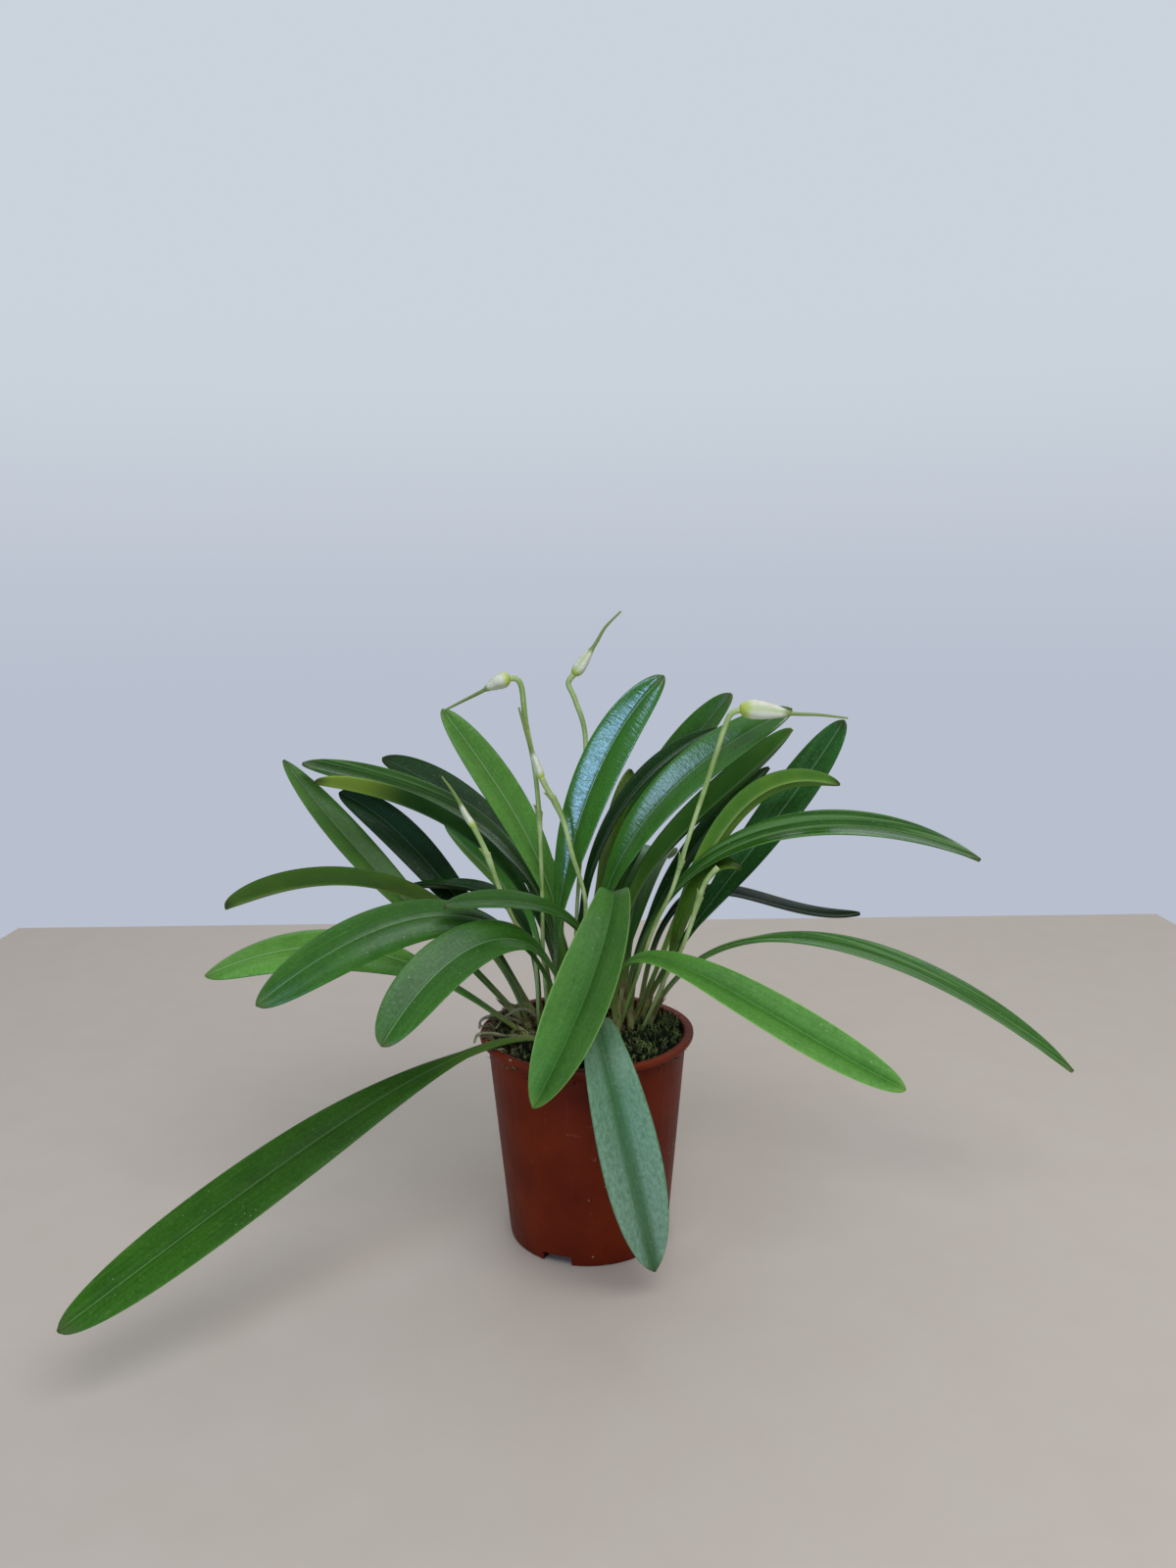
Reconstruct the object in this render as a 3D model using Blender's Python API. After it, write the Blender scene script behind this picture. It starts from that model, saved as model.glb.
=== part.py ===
"""Potted masdevallia orchid: a plastic pot, its filling and moss, leaves, flower stems and buds.

The model is in metres with +Z up. The origin is the middle of the pot's base, on the surface it stands on,
and the plant is seen from -Y, its front. Places on the plant are written in millimetres and scaled by MM.
"""

import math
from dataclasses import dataclass

import bmesh
import bpy
import numpy as np
from mathutils import Matrix, Vector

MM = 0.001
MERGE = 1e-7

# Pot
RIM_RADIUS = 45.0
POT_HEIGHT = 89.0
BASE_RADIUS = 34.0
NECK_RADIUS = 41.9
LIP_DEPTH = 2.4
LIP_ROUND = 0.7
WALL = 1.3
FLOOR = 1.4
POT_SIDES = 48
BASE_CORNER = 0.8

# Drain recesses round the foot
RECESSES = 4
FIRST_RECESS = math.radians(-113.0)
RECESS_WIDTH = 12.6
RECESS_HEIGHT = 4.0
RECESS_REACH = 7.0
RECESS_WALL = 1.3
DRAIN_WIDTH = 6.0

# Filling and moss
GAP = 0.3
MIX_EDGE_HEIGHT = 81.0
MOUND_HEIGHT = 4.2
MOUND_CENTRE = (1.0, 14.0)
MOUND_SPREAD = (28.0, 24.0)
MIX_RINGS = 7
MOSS_START = math.radians(157.5)
MOSS_END = math.radians(397.5)
MOSS_STEPS = 32
MOSS_RINGS = 4
MOSS_LIFT = 0.45
MOSS_THICKNESS = 3.2
MOSS_EDGE_THICKNESS = 0.9
MOSS_INNER = 20.0
MOSS_INNER_LEFT = 33.0
MOSS_INNER_RIGHT = 35.5
MOSS_LEFT_SHARE = 0.24
MOSS_RIGHT_START = 0.70
MOSS_RIGHT_SHARE = 0.18
MOSS_CLEARANCE = 0.2

# Stalks in the filling
ROOT_HEIGHT = 85.0
STALK_DEPTH = 5.0
HOLE_BELOW = 6.0
HOLE_ABOVE = 7.0
HOLE_SIDES = 8
LEAF_HOLE_RADIUS = 2.45
STEM_HOLE_RADIUS = 1.65

# Leaf sections
STALK_HALF_WIDTH = 1.7
STALK_SPREAD = 0.9
STALK_THICKNESS = 2.4
STALK_EDGE = 1.4
BLADE_THICKNESS = 1.4
BLADE_EDGE = 0.8
BLADE_SWELL = 0.95
TIP_HALF_WIDTH = 0.5
WAVE_HEIGHT = 0.35
STATIONS = np.array([0.0, 0.12, 0.25, 0.38, 0.5, 0.62, 0.73, 0.83, 0.91, 0.97, 1.0])
ACROSS = np.array([-1.0, -0.5, 0.0, 0.5, 1.0])

# Stem and bud sections
STEM_RADIUS = 1.05
STEM_SIDES = 6
STEM_STEPS = 20
STEM_CROWD = 1.5
BUD_SIDES = 9
BUD_STEPS = 13
BUD_LOBE = 0.08
TAIL_RADIUS = 1.0
TAIL_END_RADIUS = 0.5
NECK_GAP = 0.4
NECK_LEAD = 5.0


@dataclass(frozen=True)
class Leaf:
    """A leaf along a cubic curve: its root on the filling, two points that bend it, and its tip.

    Stalk is the stalk's share of the length. The blade narrows to its tip more sharply as fall grows.
    Fold is how far each half of the blade is folded up, in degrees.
    """

    name: str
    root: tuple
    rise: tuple
    bend: tuple
    tip: tuple
    width: float
    turn: float
    colour: str = "green"
    stalk: float = 0.22
    fall: float = 0.52
    fold: float = 16.0


@dataclass(frozen=True)
class Stem:
    """A flower stem through points from the filling up to its neck, with a bract at a share of its length."""

    name: str
    points: tuple
    bract: float = 0.6


@dataclass(frozen=True)
class Bud:
    """A flower bud on its stem's neck, along its axis: the belly's radius, the body's length, then a tail."""

    name: str
    stem: str
    points: tuple
    belly: float
    body: float


# Turn is how far a blade's upper face is rolled towards the front, in degrees
LEAVES = (
    Leaf("leaf_front_centre", (5, 3), (4, -2, 182), (31, -42, 171), (-20, -62, 82), 24, 0, "bright",
         stalk=0.35, fall=0.65, fold=24),
    Leaf("leaf_front_hang", (9, -5), (-2, -34, 124), (9, -70, 98), (25, -58, 13), 24, 0, "silver",
         stalk=0.1, fall=0.66),
    Leaf("leaf_long_left", (-14, -6), (-44, -24, 106), (-110, -84, 72), (-176, -120, 32), 23, 30,
         stalk=0.14, fold=2),
    Leaf("leaf_left_over", (1, -3), (19, -4, 147), (-28, -15, 152), (-55, -30, 151), 13, 20),
    Leaf("leaf_left_big", (-9, 0), (-19, -2, 154), (-70, -30, 162), (-126, -45, 117), 21, 45, fold=-8),
    Leaf("leaf_left_pale", (-25, 2), (-50, 4, 102), (-92, 6, 145), (-160, 0, 114), 22, 35, "pale",
         fall=0.62, fold=-6),
    Leaf("leaf_left_front", (-5, -8), (-11, -10, 150), (-49, -34, 149), (-76, -60, 106), 22, 35),
    Leaf("leaf_left_curl", (-25, 9), (-36, 12, 138), (-94, 18, 167), (-155, 16, 139), 23, -35, "yellow",
         stalk=0.14),
    Leaf("leaf_left_high", (-27, 17), (-55, 28, 113), (-102, 42, 152), (-136, 52, 198), 16, 30, "pale",
         fall=0.62),
    Leaf("leaf_left_dark", (-22, 22), (-44, 30, 121), (-79, 46, 172), (-111, 50, 183), 16, 60, "dark"),
    Leaf("leaf_left_striped", (-12, 27), (-8, 33, 166), (-64, 45, 184), (-126, 46, 197), 17, 25),
    Leaf("leaf_left_yellow_tip", (-10, 19), (-13, 19, 152), (-56, 23, 184), (-116, 25, 192), 19, -35,
         "dark"),
    Leaf("leaf_left_low_back", (-21, 15), (-19, 18, 150), (-48, 24, 146), (-77, 28, 145), 15, 0, "dark"),
    Leaf("leaf_pale_under", (-16, 32), (-18, 38, 134), (-46, 50, 148), (-64, 54, 167), 14, -75, "pale"),
    Leaf("leaf_back_left", (-5, 34), (-10, 46, 147), (-57, 61, 181), (-94, 68, 196), 19, 30, "dark"),
    Leaf("leaf_up_left", (-15, 12), (0, 16, 138), (-28, 18, 180), (-60, 24, 223), 16, 50, "pale"),
    Leaf("leaf_tall", (-11, 6), (-18, 8, 134), (-2, 3, 205), (33, -2, 238), 18, 80, fold=20),
    Leaf("leaf_olive", (4, 28), (4, 42, 128), (10, 53, 161), (21, 54, 192), 17, 80, "yellow"),
    Leaf("leaf_back_right", (10, 33), (6, 34, 140), (25, 37, 183), (65, 36, 227), 20, 40),
    Leaf("leaf_dark_edge", (0, 15), (-12, 17, 158), (22, 24, 200), (58, 24, 213), 13, 15, "dark"),
    Leaf("leaf_glossy", (7, 9), (-7, 9, 153), (33, 8, 199), (86, 6, 223), 18, 55, fold=20),
    Leaf("leaf_bright_edge", (14, 20), (4, 22, 155), (55, 22, 175), (89, 22, 213), 22, -40, "pale"),
    Leaf("leaf_right_arch", (20, 15), (46, 14, 142), (58, 13, 206), (108, 14, 190), 12, -60, "yellow"),
    Leaf("leaf_right_high", (24, 24), (39, 26, 122), (83, 32, 164), (114, 35, 215), 19, 45, "dark"),
    Leaf("leaf_right_long", (19, 8), (17, 8, 170), (96, -2, 193), (162, -5, 161), 19, 20, fall=0.62),
    Leaf("leaf_right_narrow", (23.5, 29.5), (39, 40, 177), (78, 46, 117), (126, 48, 124), 14, 10, "dark"),
    Leaf("leaf_right_low", (27, 17), (48, 16, 138), (117, 8, 140), (208, 2, 66), 19, 15, fall=0.62),
    Leaf("leaf_right_front", (13, 1), (4, -2, 156), (58, -24, 109), (123, -46, 80), 18, 40, "bright",
         stalk=0.12),
    Leaf("leaf_hooked", (26, 10), (38, 8, 114), (46, 4, 170), (65, 2, 157), 12, 30, "yellow"),
    Leaf("leaf_dark_back", (17, 27), (22, 30, 132), (55, 36, 171), (82, 38, 194), 13, 20, "dark"),
    Leaf("leaf_back_low", (-10.5, 34.5), (-13, 44, 128), (-24, 74, 158), (-34, 96, 136), 19, 0),
    Leaf("leaf_back_wide", (15.5, 33), (19, 43, 128), (30, 72, 162), (42, 98, 140), 19, 0),
)

STEMS = (
    Stem("stem_left", ((-16, 5.5, 85), (-18, 4, 118), (-18, 2.5, 150), (-18.5, 0, 182), (-20, -1.5, 202),
                       (-23, -3, 220), (-24.2, -3, 233), (-26, -3, 237.4), (-29.2, -3, 237.8)), 0.62),
    Stem("stem_young", ((0, 9, 85), (-1, 5, 122), (0, 0.3, 145), (-5, -3.2, 165), (-8, -3.5, 178),
                        (-11.5, -4, 187), (-15, -5.5, 193.5), (-17, -6, 198)), 0.9),
    Stem("stem_top", ((-5.5, 22, 85), (-4, 22, 130), (-1, 22, 170), (1, 22, 209), (-3, 22, 226),
                      (-6, 22, 233.5), (-3.5, 22, 237.5)), 0.7),
    Stem("stem_right", ((13.5, 7, 85), (22, 3.5, 112), (29, 0, 134), (36, -3.5, 150), (43, -6, 174),
                        (51, -7, 199), (57, -7, 218), (59.5, -7, 223), (63, -7, 224.5)), 0.55),
    Stem("stem_slender", ((-20.5, 6.5, 85), (-22, 5, 120), (-30, 3, 136), (-35.5, 3, 149), (-41, 4, 165),
                          (-46, 4.5, 176)), 0.85),
    Stem("young_shoot", ((23, 4, 85), (34, 0.5, 112), (41, -3, 127), (48, -6, 150), (51, -6.5, 156),
                         (54.5, -6.5, 160)), 0.8),
)

BUDS = (
    Bud("bud_left", "stem_left", ((-32.6, -3, 236.9), (-36, -2.6, 235.3), (-41, -2, 232.5), (-49, 0, 228.5),
                                  (-57, 1.5, 224.5)), 2.9, 11.5),
    Bud("bud_young", "stem_young", ((-19, -6, 204), (-21, -6, 210), (-23, -6, 217), (-25.5, -6, 226.5)),
        1.5, 12),
    Bud("bud_top", "stem_top", ((-0.5, 22, 241), (2.5, 22, 245.5), (6, 22, 250.5), (10, 22, 257),
                                (16.5, 22, 263.5)), 2.4, 14),
    Bud("bud_right", "stem_right", ((67, -7, 224.4), (75, -7, 223.6), (84, -7, 222.6), (95, -7, 222),
                                    (106, -7, 220.6)), 3.6, 21),
    Bud("bud_slender", "stem_slender", ((-49, 4.5, 181), (-52, 4.7, 187), (-55, 5, 192), (-58.5, 5, 197)),
        1.3, 12),
)

COLOURS = {
    "green": (0.045, 0.13, 0.030),
    "bright": (0.085, 0.26, 0.040),
    "silver": (0.10, 0.23, 0.11),
    "pale": (0.11, 0.25, 0.06),
    "dark": (0.022, 0.065, 0.020),
    "yellow": (0.15, 0.25, 0.035),
    "stem": (0.45, 0.55, 0.22),
    "bud": (0.68, 0.70, 0.42),
    "pot": (0.22, 0.055, 0.028),
    "potting_mix": (0.055, 0.035, 0.022),
    "moss": (0.06, 0.10, 0.025),
}
ROUGHNESS = {"pot": 0.42, "potting_mix": 0.95, "moss": 0.95, "bud": 0.5, "stem": 0.45}
LEAF_ROUGHNESS = 0.34


def clear_scene():
    """Remove every object that the file opened with."""
    for item in list(bpy.data.objects):
        bpy.data.objects.remove(item, do_unlink=True)


def make_material(name, colour):
    """Give a named Principled material in one of the plant's colours."""
    material = bpy.data.materials.new(name)
    material.use_nodes = True
    shader = material.node_tree.nodes["Principled BSDF"]
    shader.inputs["Base Color"].default_value = (*COLOURS[colour], 1.0)
    shader.inputs["Roughness"].default_value = ROUGHNESS.get(colour, LEAF_ROUGHNESS)
    shader.inputs["Metallic"].default_value = 0.0
    return material


def add_mesh(name, mesh, colour=None, sharp=40.0):
    """Put a mesh in the scene under a name: a coloured piece, or a hidden guide where no colour is given."""
    mesh.name = name
    mesh.shade_smooth()
    mesh.set_sharp_from_angle(angle=math.radians(sharp))
    item = bpy.data.objects.new(name, mesh)
    bpy.context.collection.objects.link(item)
    if colour:
        mesh.materials.append(make_material(name, colour))
    else:
        item.hide_render = True
        item.display_type = "WIRE"
    return item


def add_surface(name, points, faces, colour, sharp=40.0):
    """Turn millimetre points and faces into a named piece, smooth except over sharp angles."""
    mesh = bpy.data.meshes.new(name)
    mesh.from_pydata((np.asarray(points) * MM).tolist(), [], [tuple(int(i) for i in face) for face in faces])
    return add_mesh(name, mesh, colour, sharp)


def add_shape(name, shape, colour=None):
    """Turn an edited shape into a named piece or guide, with its faces pointing out."""
    bmesh.ops.recalc_face_normals(shape, faces=shape.faces)
    mesh = bpy.data.meshes.new(name)
    shape.to_mesh(mesh)
    shape.free()
    return add_mesh(name, mesh, colour)


def add_boolean(item, operand, operation, crossing=False):
    """Cut or join one object with another, which stays as a guide and whose own pieces may cross."""
    modifier = item.modifiers.new(operand.name, "BOOLEAN")
    modifier.operation = operation
    modifier.solver = "EXACT"
    modifier.use_self = crossing
    modifier.object = operand


def turned(profile, sides):
    """Spin an outline of (radius, height) points round Z, closed where it meets the axis."""
    shape = bmesh.new()
    corners = [shape.verts.new((radius * MM, 0.0, height * MM)) for radius, height in profile]
    edges = [shape.edges.new(pair) for pair in zip(corners, corners[1:])]
    bmesh.ops.spin(shape, geom=corners + edges, cent=(0, 0, 0), axis=(0, 0, 1), angle=2 * math.pi,
                   steps=sides)
    bmesh.ops.remove_doubles(shape, verts=shape.verts, dist=MERGE)
    return shape


def wall_radius(height):
    """Outer radius of the pot's straight wall at a height."""
    share = height / (POT_HEIGHT - LIP_DEPTH)
    return BASE_RADIUS + (NECK_RADIUS - BASE_RADIUS) * share


def pot_profile():
    """Outline of the pot's section, from the middle of its underside out, up, over the lip and back in."""
    under_lip = POT_HEIGHT - LIP_DEPTH
    inner_top = wall_radius(under_lip) - WALL
    return [
        (0.0, 0.0),
        (BASE_RADIUS - BASE_CORNER, 0.0),
        (BASE_RADIUS, BASE_CORNER),
        (wall_radius(under_lip), under_lip),
        (RIM_RADIUS - LIP_ROUND, under_lip + 0.1),
        (RIM_RADIUS, under_lip + LIP_ROUND),
        (RIM_RADIUS, POT_HEIGHT - LIP_ROUND),
        (RIM_RADIUS - LIP_ROUND, POT_HEIGHT),
        (inner_top + 1.2, POT_HEIGHT),
        (inner_top + 0.3, POT_HEIGHT - 0.8),
        (inner_top, under_lip - 0.5),
        (wall_radius(FLOOR) - WALL, FLOOR),
        (0.0, FLOOR),
    ]


def blocks(count, first, inner, outer, width, low, high):
    """Boxes set evenly round Z, from an inner to an outer radius."""
    shape = bmesh.new()
    size = Matrix.Diagonal((outer - inner, width, high - low, 1.0))
    place = Matrix.Translation(((inner + outer) / 2, 0.0, (low + high) / 2))
    for k in range(count):
        turn = Matrix.Rotation(first + k * 2 * math.pi / count, 4, "Z")
        bmesh.ops.create_cube(shape, size=1.0, matrix=Matrix.Scale(MM, 4) @ turn @ place @ size)
    return shape


def build_pot():
    """Make the pot, with a recess and a drain slot at each foot notch."""
    pot = add_shape("pot", turned(pot_profile(), POT_SIDES), "pot")
    inner = BASE_RADIUS - RECESS_REACH
    housing = blocks(RECESSES, FIRST_RECESS, inner - RECESS_WALL, BASE_RADIUS - 0.6,
                     RECESS_WIDTH + 2 * RECESS_WALL, 0.5 * FLOOR, RECESS_HEIGHT + RECESS_WALL)
    recess = blocks(RECESSES, FIRST_RECESS, inner, BASE_RADIUS + 4.0, RECESS_WIDTH, -2.0, RECESS_HEIGHT)
    drain = blocks(RECESSES, FIRST_RECESS, inner + 0.8, BASE_RADIUS - 2.4, DRAIN_WIDTH,
                   RECESS_HEIGHT - 1.0, RECESS_HEIGHT + RECESS_WALL + 1.0)
    add_boolean(pot, add_shape("pot_housings", housing), "UNION")
    add_boolean(pot, add_shape("pot_recesses", recess), "DIFFERENCE")
    add_boolean(pot, add_shape("pot_drains", drain), "DIFFERENCE")


def mix_height(x, y):
    """Height of the filling's surface: a low mound round the crown, with small lumps."""
    across, back = (x - MOUND_CENTRE[0]) / MOUND_SPREAD[0], (y - MOUND_CENTRE[1]) / MOUND_SPREAD[1]
    mound = np.exp(-(across**2) - back**2)
    lumps = 0.35 * np.sin(0.42 * x + 1.0) * np.cos(0.37 * y) + 0.2 * np.sin(0.9 * x - 0.7 * y)
    return MIX_EDGE_HEIGHT + MOUND_HEIGHT * mound + lumps


def mix_radius(height):
    """Radius of the filling at a height, just clear of the pot's wall."""
    return wall_radius(height) - WALL - GAP


def laid_height(x, y):
    """Height of the filling's facets along the edges that run out from its middle."""
    ring = np.hypot(x, y) / mix_radius(MIX_EDGE_HEIGHT) * MIX_RINGS
    inner, outer = np.floor(ring), np.floor(ring) + 1.0
    share = ring - inner
    return ((1.0 - share) * mix_height(x * inner / ring, y * inner / ring)
            + share * mix_height(x * outer / ring, y * outer / ring))


def stalk_holes():
    """Eight-sided bars along the foot of every stalk, to cut its hole in the filling."""
    shape = bmesh.new()
    feet = [(leaf_path(leaf), LEAF_HOLE_RADIUS) for leaf in LEAVES]
    feet += [(stem_path(stem)[0], STEM_HOLE_RADIUS) for stem in STEMS]
    for path, radius in feet:
        along = Vector(path[2] - path[1]).normalized()
        middle = Vector(path[1]) + along * (HOLE_ABOVE - HOLE_BELOW) / 2
        place = Matrix.Translation(middle) @ along.to_track_quat("Z", "X").to_matrix().to_4x4()
        bmesh.ops.create_cone(shape, cap_ends=True, segments=HOLE_SIDES, radius1=radius, radius2=radius,
                              depth=HOLE_ABOVE + HOLE_BELOW, matrix=Matrix.Scale(MM, 4) @ place)
    return shape


def build_potting_mix():
    """Make the filling: it stands on the pot's floor, fits its wall and housings, and holds the stalks."""
    angles = np.arange(POT_SIDES) * 2 * math.pi / POT_SIDES
    top_radius = mix_radius(MIX_EDGE_HEIGHT)
    low = FLOOR + GAP
    points = [(0.0, 0.0, low)]
    points += [(mix_radius(low) * math.cos(a), mix_radius(low) * math.sin(a), low) for a in angles]
    for ring in range(MIX_RINGS, 0, -1):
        radius = top_radius * ring / MIX_RINGS
        x, y = radius * np.cos(angles), radius * np.sin(angles)
        points += np.stack([x, y, mix_height(x, y)], axis=1).tolist()
    points.append((0.0, 0.0, float(mix_height(0.0, 0.0))))
    last = len(points) - 1
    faces = []
    for i in range(POT_SIDES):
        j = (i + 1) % POT_SIDES
        faces.append((0, 1 + j, 1 + i))
        for ring in range(MIX_RINGS):
            a, b = 1 + ring * POT_SIDES, 1 + (ring + 1) * POT_SIDES
            faces.append((a + i, a + j, b + j, b + i))
        faces.append((last - POT_SIDES + i, last - POT_SIDES + j, last))
    mix = add_surface("potting_mix", points, faces, "potting_mix")
    inner = BASE_RADIUS - RECESS_REACH - RECESS_WALL - GAP
    pockets = blocks(RECESSES, FIRST_RECESS, inner, BASE_RADIUS + 4.0, RECESS_WIDTH + 2 * (RECESS_WALL + GAP),
                     0.0, RECESS_HEIGHT + RECESS_WALL + GAP)
    add_boolean(mix, add_shape("mix_pockets", pockets), "DIFFERENCE")
    add_boolean(mix, add_shape("mix_stalk_holes", stalk_holes()), "DIFFERENCE", crossing=True)


def build_moss():
    """Make the moss: a crescent cushion on the front of the filling, widest in front of the crown."""
    share = np.linspace(0.0, 1.0, MOSS_STEPS + 1)
    angle = MOSS_START + (MOSS_END - MOSS_START) * share
    left = np.clip(1.0 - share / MOSS_LEFT_SHARE, 0.0, 1.0)
    right = np.clip((share - MOSS_RIGHT_START) / MOSS_RIGHT_SHARE, 0.0, 1.0)
    inner = MOSS_INNER + (MOSS_INNER_LEFT - MOSS_INNER) * left + (MOSS_INNER_RIGHT - MOSS_INNER) * right
    outer = mix_radius(MIX_EDGE_HEIGHT) - MOSS_CLEARANCE
    across = np.linspace(0.0, 1.0, MOSS_RINGS + 1)
    radius = inner[:, None] + (outer - inner)[:, None] * across[None, :]
    x, y = radius * np.cos(angle)[:, None], radius * np.sin(angle)[:, None]
    low = laid_height(x, y) + MOSS_LIFT
    swell = np.sin(math.pi * across)[None, :] * np.sin(math.pi * np.clip(share, 0.02, 0.98))[:, None] ** 0.3
    bumps = 1.0 + 0.28 * np.sin(0.8 * x + 0.5 * y) + 0.22 * np.cos(0.55 * x - 0.9 * y)
    high = low + MOSS_EDGE_THICKNESS + MOSS_THICKNESS * swell * bumps
    cols = MOSS_RINGS + 1
    count = (MOSS_STEPS + 1) * cols
    points = np.concatenate([np.stack([x, y, z], axis=2).reshape(-1, 3) for z in (high, low)])
    add_surface("moss", points, plate_faces(MOSS_STEPS + 1, cols, count), "moss")


def plate_faces(rows, cols, offset):
    """Triangles of a closed plate between two grids of points, alike on both and mirrored at their middle."""
    faces = []
    for i in range(rows - 1):
        for c in range(cols - 1):
            a, b = i * cols + c, (i + 1) * cols + c
            cell = ((a, a + 1, b + 1), (a, b + 1, b)) if c < cols // 2 else ((a, a + 1, b), (a + 1, b + 1, b))
            faces.extend(cell)
            faces.extend((offset + p, offset + r, offset + q) for p, q, r in cell)
        for a, order in ((i * cols, 1), (i * cols + cols - 1, -1)):
            b = a + cols
            faces.extend(((a, b, offset + b)[::order], (a, offset + b, offset + a)[::order]))
    for first, order in ((0, 1), ((rows - 1) * cols, -1)):
        for a in range(first, first + cols - 1):
            faces.extend(((a, offset + a, offset + a + 1)[::order], (a, offset + a + 1, a + 1)[::order]))
    return faces


def leaf_curve(leaf, count=161):
    """Points evenly spaced along a leaf's midrib."""
    corners = np.array([(*leaf.root, ROOT_HEIGHT), leaf.rise, leaf.bend, leaf.tip], float)
    t = np.linspace(0.0, 1.0, count)[:, None]
    u = 1.0 - t
    line = u**3 * corners[0] + 3 * u * u * t * corners[1] + 3 * u * t * t * corners[2] + t**3 * corners[3]
    run = np.r_[0.0, np.cumsum(np.linalg.norm(np.diff(line, axis=0), axis=1))]
    return np.stack([np.interp(t[:, 0] * run[-1], run, line[:, k]) for k in range(3)], axis=1)


def leaf_path(leaf):
    """The midrib from the foot of the stalk, in its hole, to the tip."""
    line = leaf_curve(leaf)
    along = (line[1] - line[0]) / np.linalg.norm(line[1] - line[0])
    return np.vstack([line[0] - along * STALK_DEPTH, line])


def half_widths(leaf, share):
    """Half the leaf's width at shares of its length: a stalk, then a blade widest past its middle."""
    fall = leaf.fall
    peak = BLADE_SWELL / (BLADE_SWELL + fall)
    x = np.clip((share - leaf.stalk) / (1.0 - leaf.stalk), 0.0, 1.0)
    blade = x**BLADE_SWELL * (1.0 - x) ** fall / (peak**BLADE_SWELL * (1.0 - peak) ** fall)
    stalk = STALK_HALF_WIDTH + STALK_SPREAD * np.clip(share / leaf.stalk, 0.0, 1.0)
    return np.maximum(leaf.width / 2 * blade, np.where(share < 0.6, stalk, TIP_HALF_WIDTH))


def leaf_solid(leaf, order):
    """Closed blade: a grooved upper face and a keeled lower one, on the same grid."""
    line = leaf_curve(leaf)
    ends = np.array([line[0], line[-1]])
    along = np.gradient(line, axis=0)
    along /= np.linalg.norm(along, axis=1)[:, None]
    heading = (ends[1] - ends[0]) * (1.0, 1.0, 0.0)
    heading /= np.linalg.norm(heading)
    flat = np.array([heading[1], -heading[0], 0.0])
    side = flat - (along @ flat)[:, None] * along
    side /= np.linalg.norm(side, axis=1)[:, None]
    up = np.cross(side, along)
    share = np.linspace(0.0, 1.0, len(line))
    ease = np.clip((share - 0.05) / 0.5, 0.0, 1.0)
    towards_front = 1.0 if leaf.tip[0] < leaf.root[0] else -1.0
    roll = (math.radians(leaf.turn) * towards_front * ease**2 * (3 - 2 * ease))[:, None]
    side, up = side * np.cos(roll) + up * np.sin(roll), up * np.cos(roll) - side * np.sin(roll)

    def sample(values):
        return np.stack([np.interp(STATIONS, share, values[:, k]) for k in range(3)], axis=1)

    middle, along, side, up = (sample(v) for v in (line, along, side, up))
    middle = np.vstack([middle[0] - along[0] * STALK_DEPTH, middle])
    side, up = np.vstack([side[0], side]), np.vstack([up[0], up])
    width = half_widths(leaf, STATIONS)
    width = np.r_[width[0], width][:, None]
    share = np.r_[0.0, STATIONS][:, None]
    blade = np.clip(share / 0.25, 0.0, 1.0)
    out = np.abs(ACROSS)[None, :]
    rib = STALK_THICKNESS + (BLADE_THICKNESS - STALK_THICKNESS) * blade
    edge = STALK_EDGE + (BLADE_EDGE - STALK_EDGE) * blade
    thick = rib * (1.0 - out) + edge * out
    wave = WAVE_HEIGHT * blade * out**2 * np.sin(9.0 * share + 1.7 * order + 1.3 * ACROSS[None, :])
    lift = width * math.tan(math.radians(leaf.fold)) * blade * (0.35 * out + 0.65 * out**2)
    lift = lift + wave * np.clip(width / 5, 0.0, 1.0)
    place = middle[:, None] + side[:, None] * (width * ACROSS)[:, :, None]
    upper = place + up[:, None] * (lift + thick / 2)[:, :, None]
    lower = place + up[:, None] * (lift - thick / 2)[:, :, None]
    points = np.concatenate([upper.reshape(-1, 3), lower.reshape(-1, 3)])
    rows, cols = upper.shape[:2]
    return points, plate_faces(rows, cols, rows * cols)


def smooth_line(corners, count, before=None, crowd=1.0):
    """Points on a smooth curve through the given ones, coming from a point before the first.

    They are evenly spaced, or closer together towards the end where crowd is over 1.
    """
    corners = np.asarray(corners, float)
    before = 2 * corners[0] - corners[1] if before is None else before
    padded = np.vstack([before, corners, 2 * corners[-1] - corners[-2]])
    t = np.linspace(0.0, 1.0, 30, endpoint=False)[:, None]
    pieces = []
    for a, b, c, d in zip(padded, padded[1:], padded[2:], padded[3:]):
        pieces.append(0.5 * (2 * b + (c - a) * t + (2 * a - 5 * b + 4 * c - d) * t**2
                             + (3 * b - a - 3 * c + d) * t**3))
    line = np.vstack([*pieces, corners[-1:]])
    run = np.r_[0.0, np.cumsum(np.linalg.norm(np.diff(line, axis=0), axis=1))]
    place = run[-1] * (1.0 - (1.0 - np.linspace(0.0, 1.0, count)) ** crowd)
    return np.stack([np.interp(place, run, line[:, k]) for k in range(3)], axis=1), place


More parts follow.
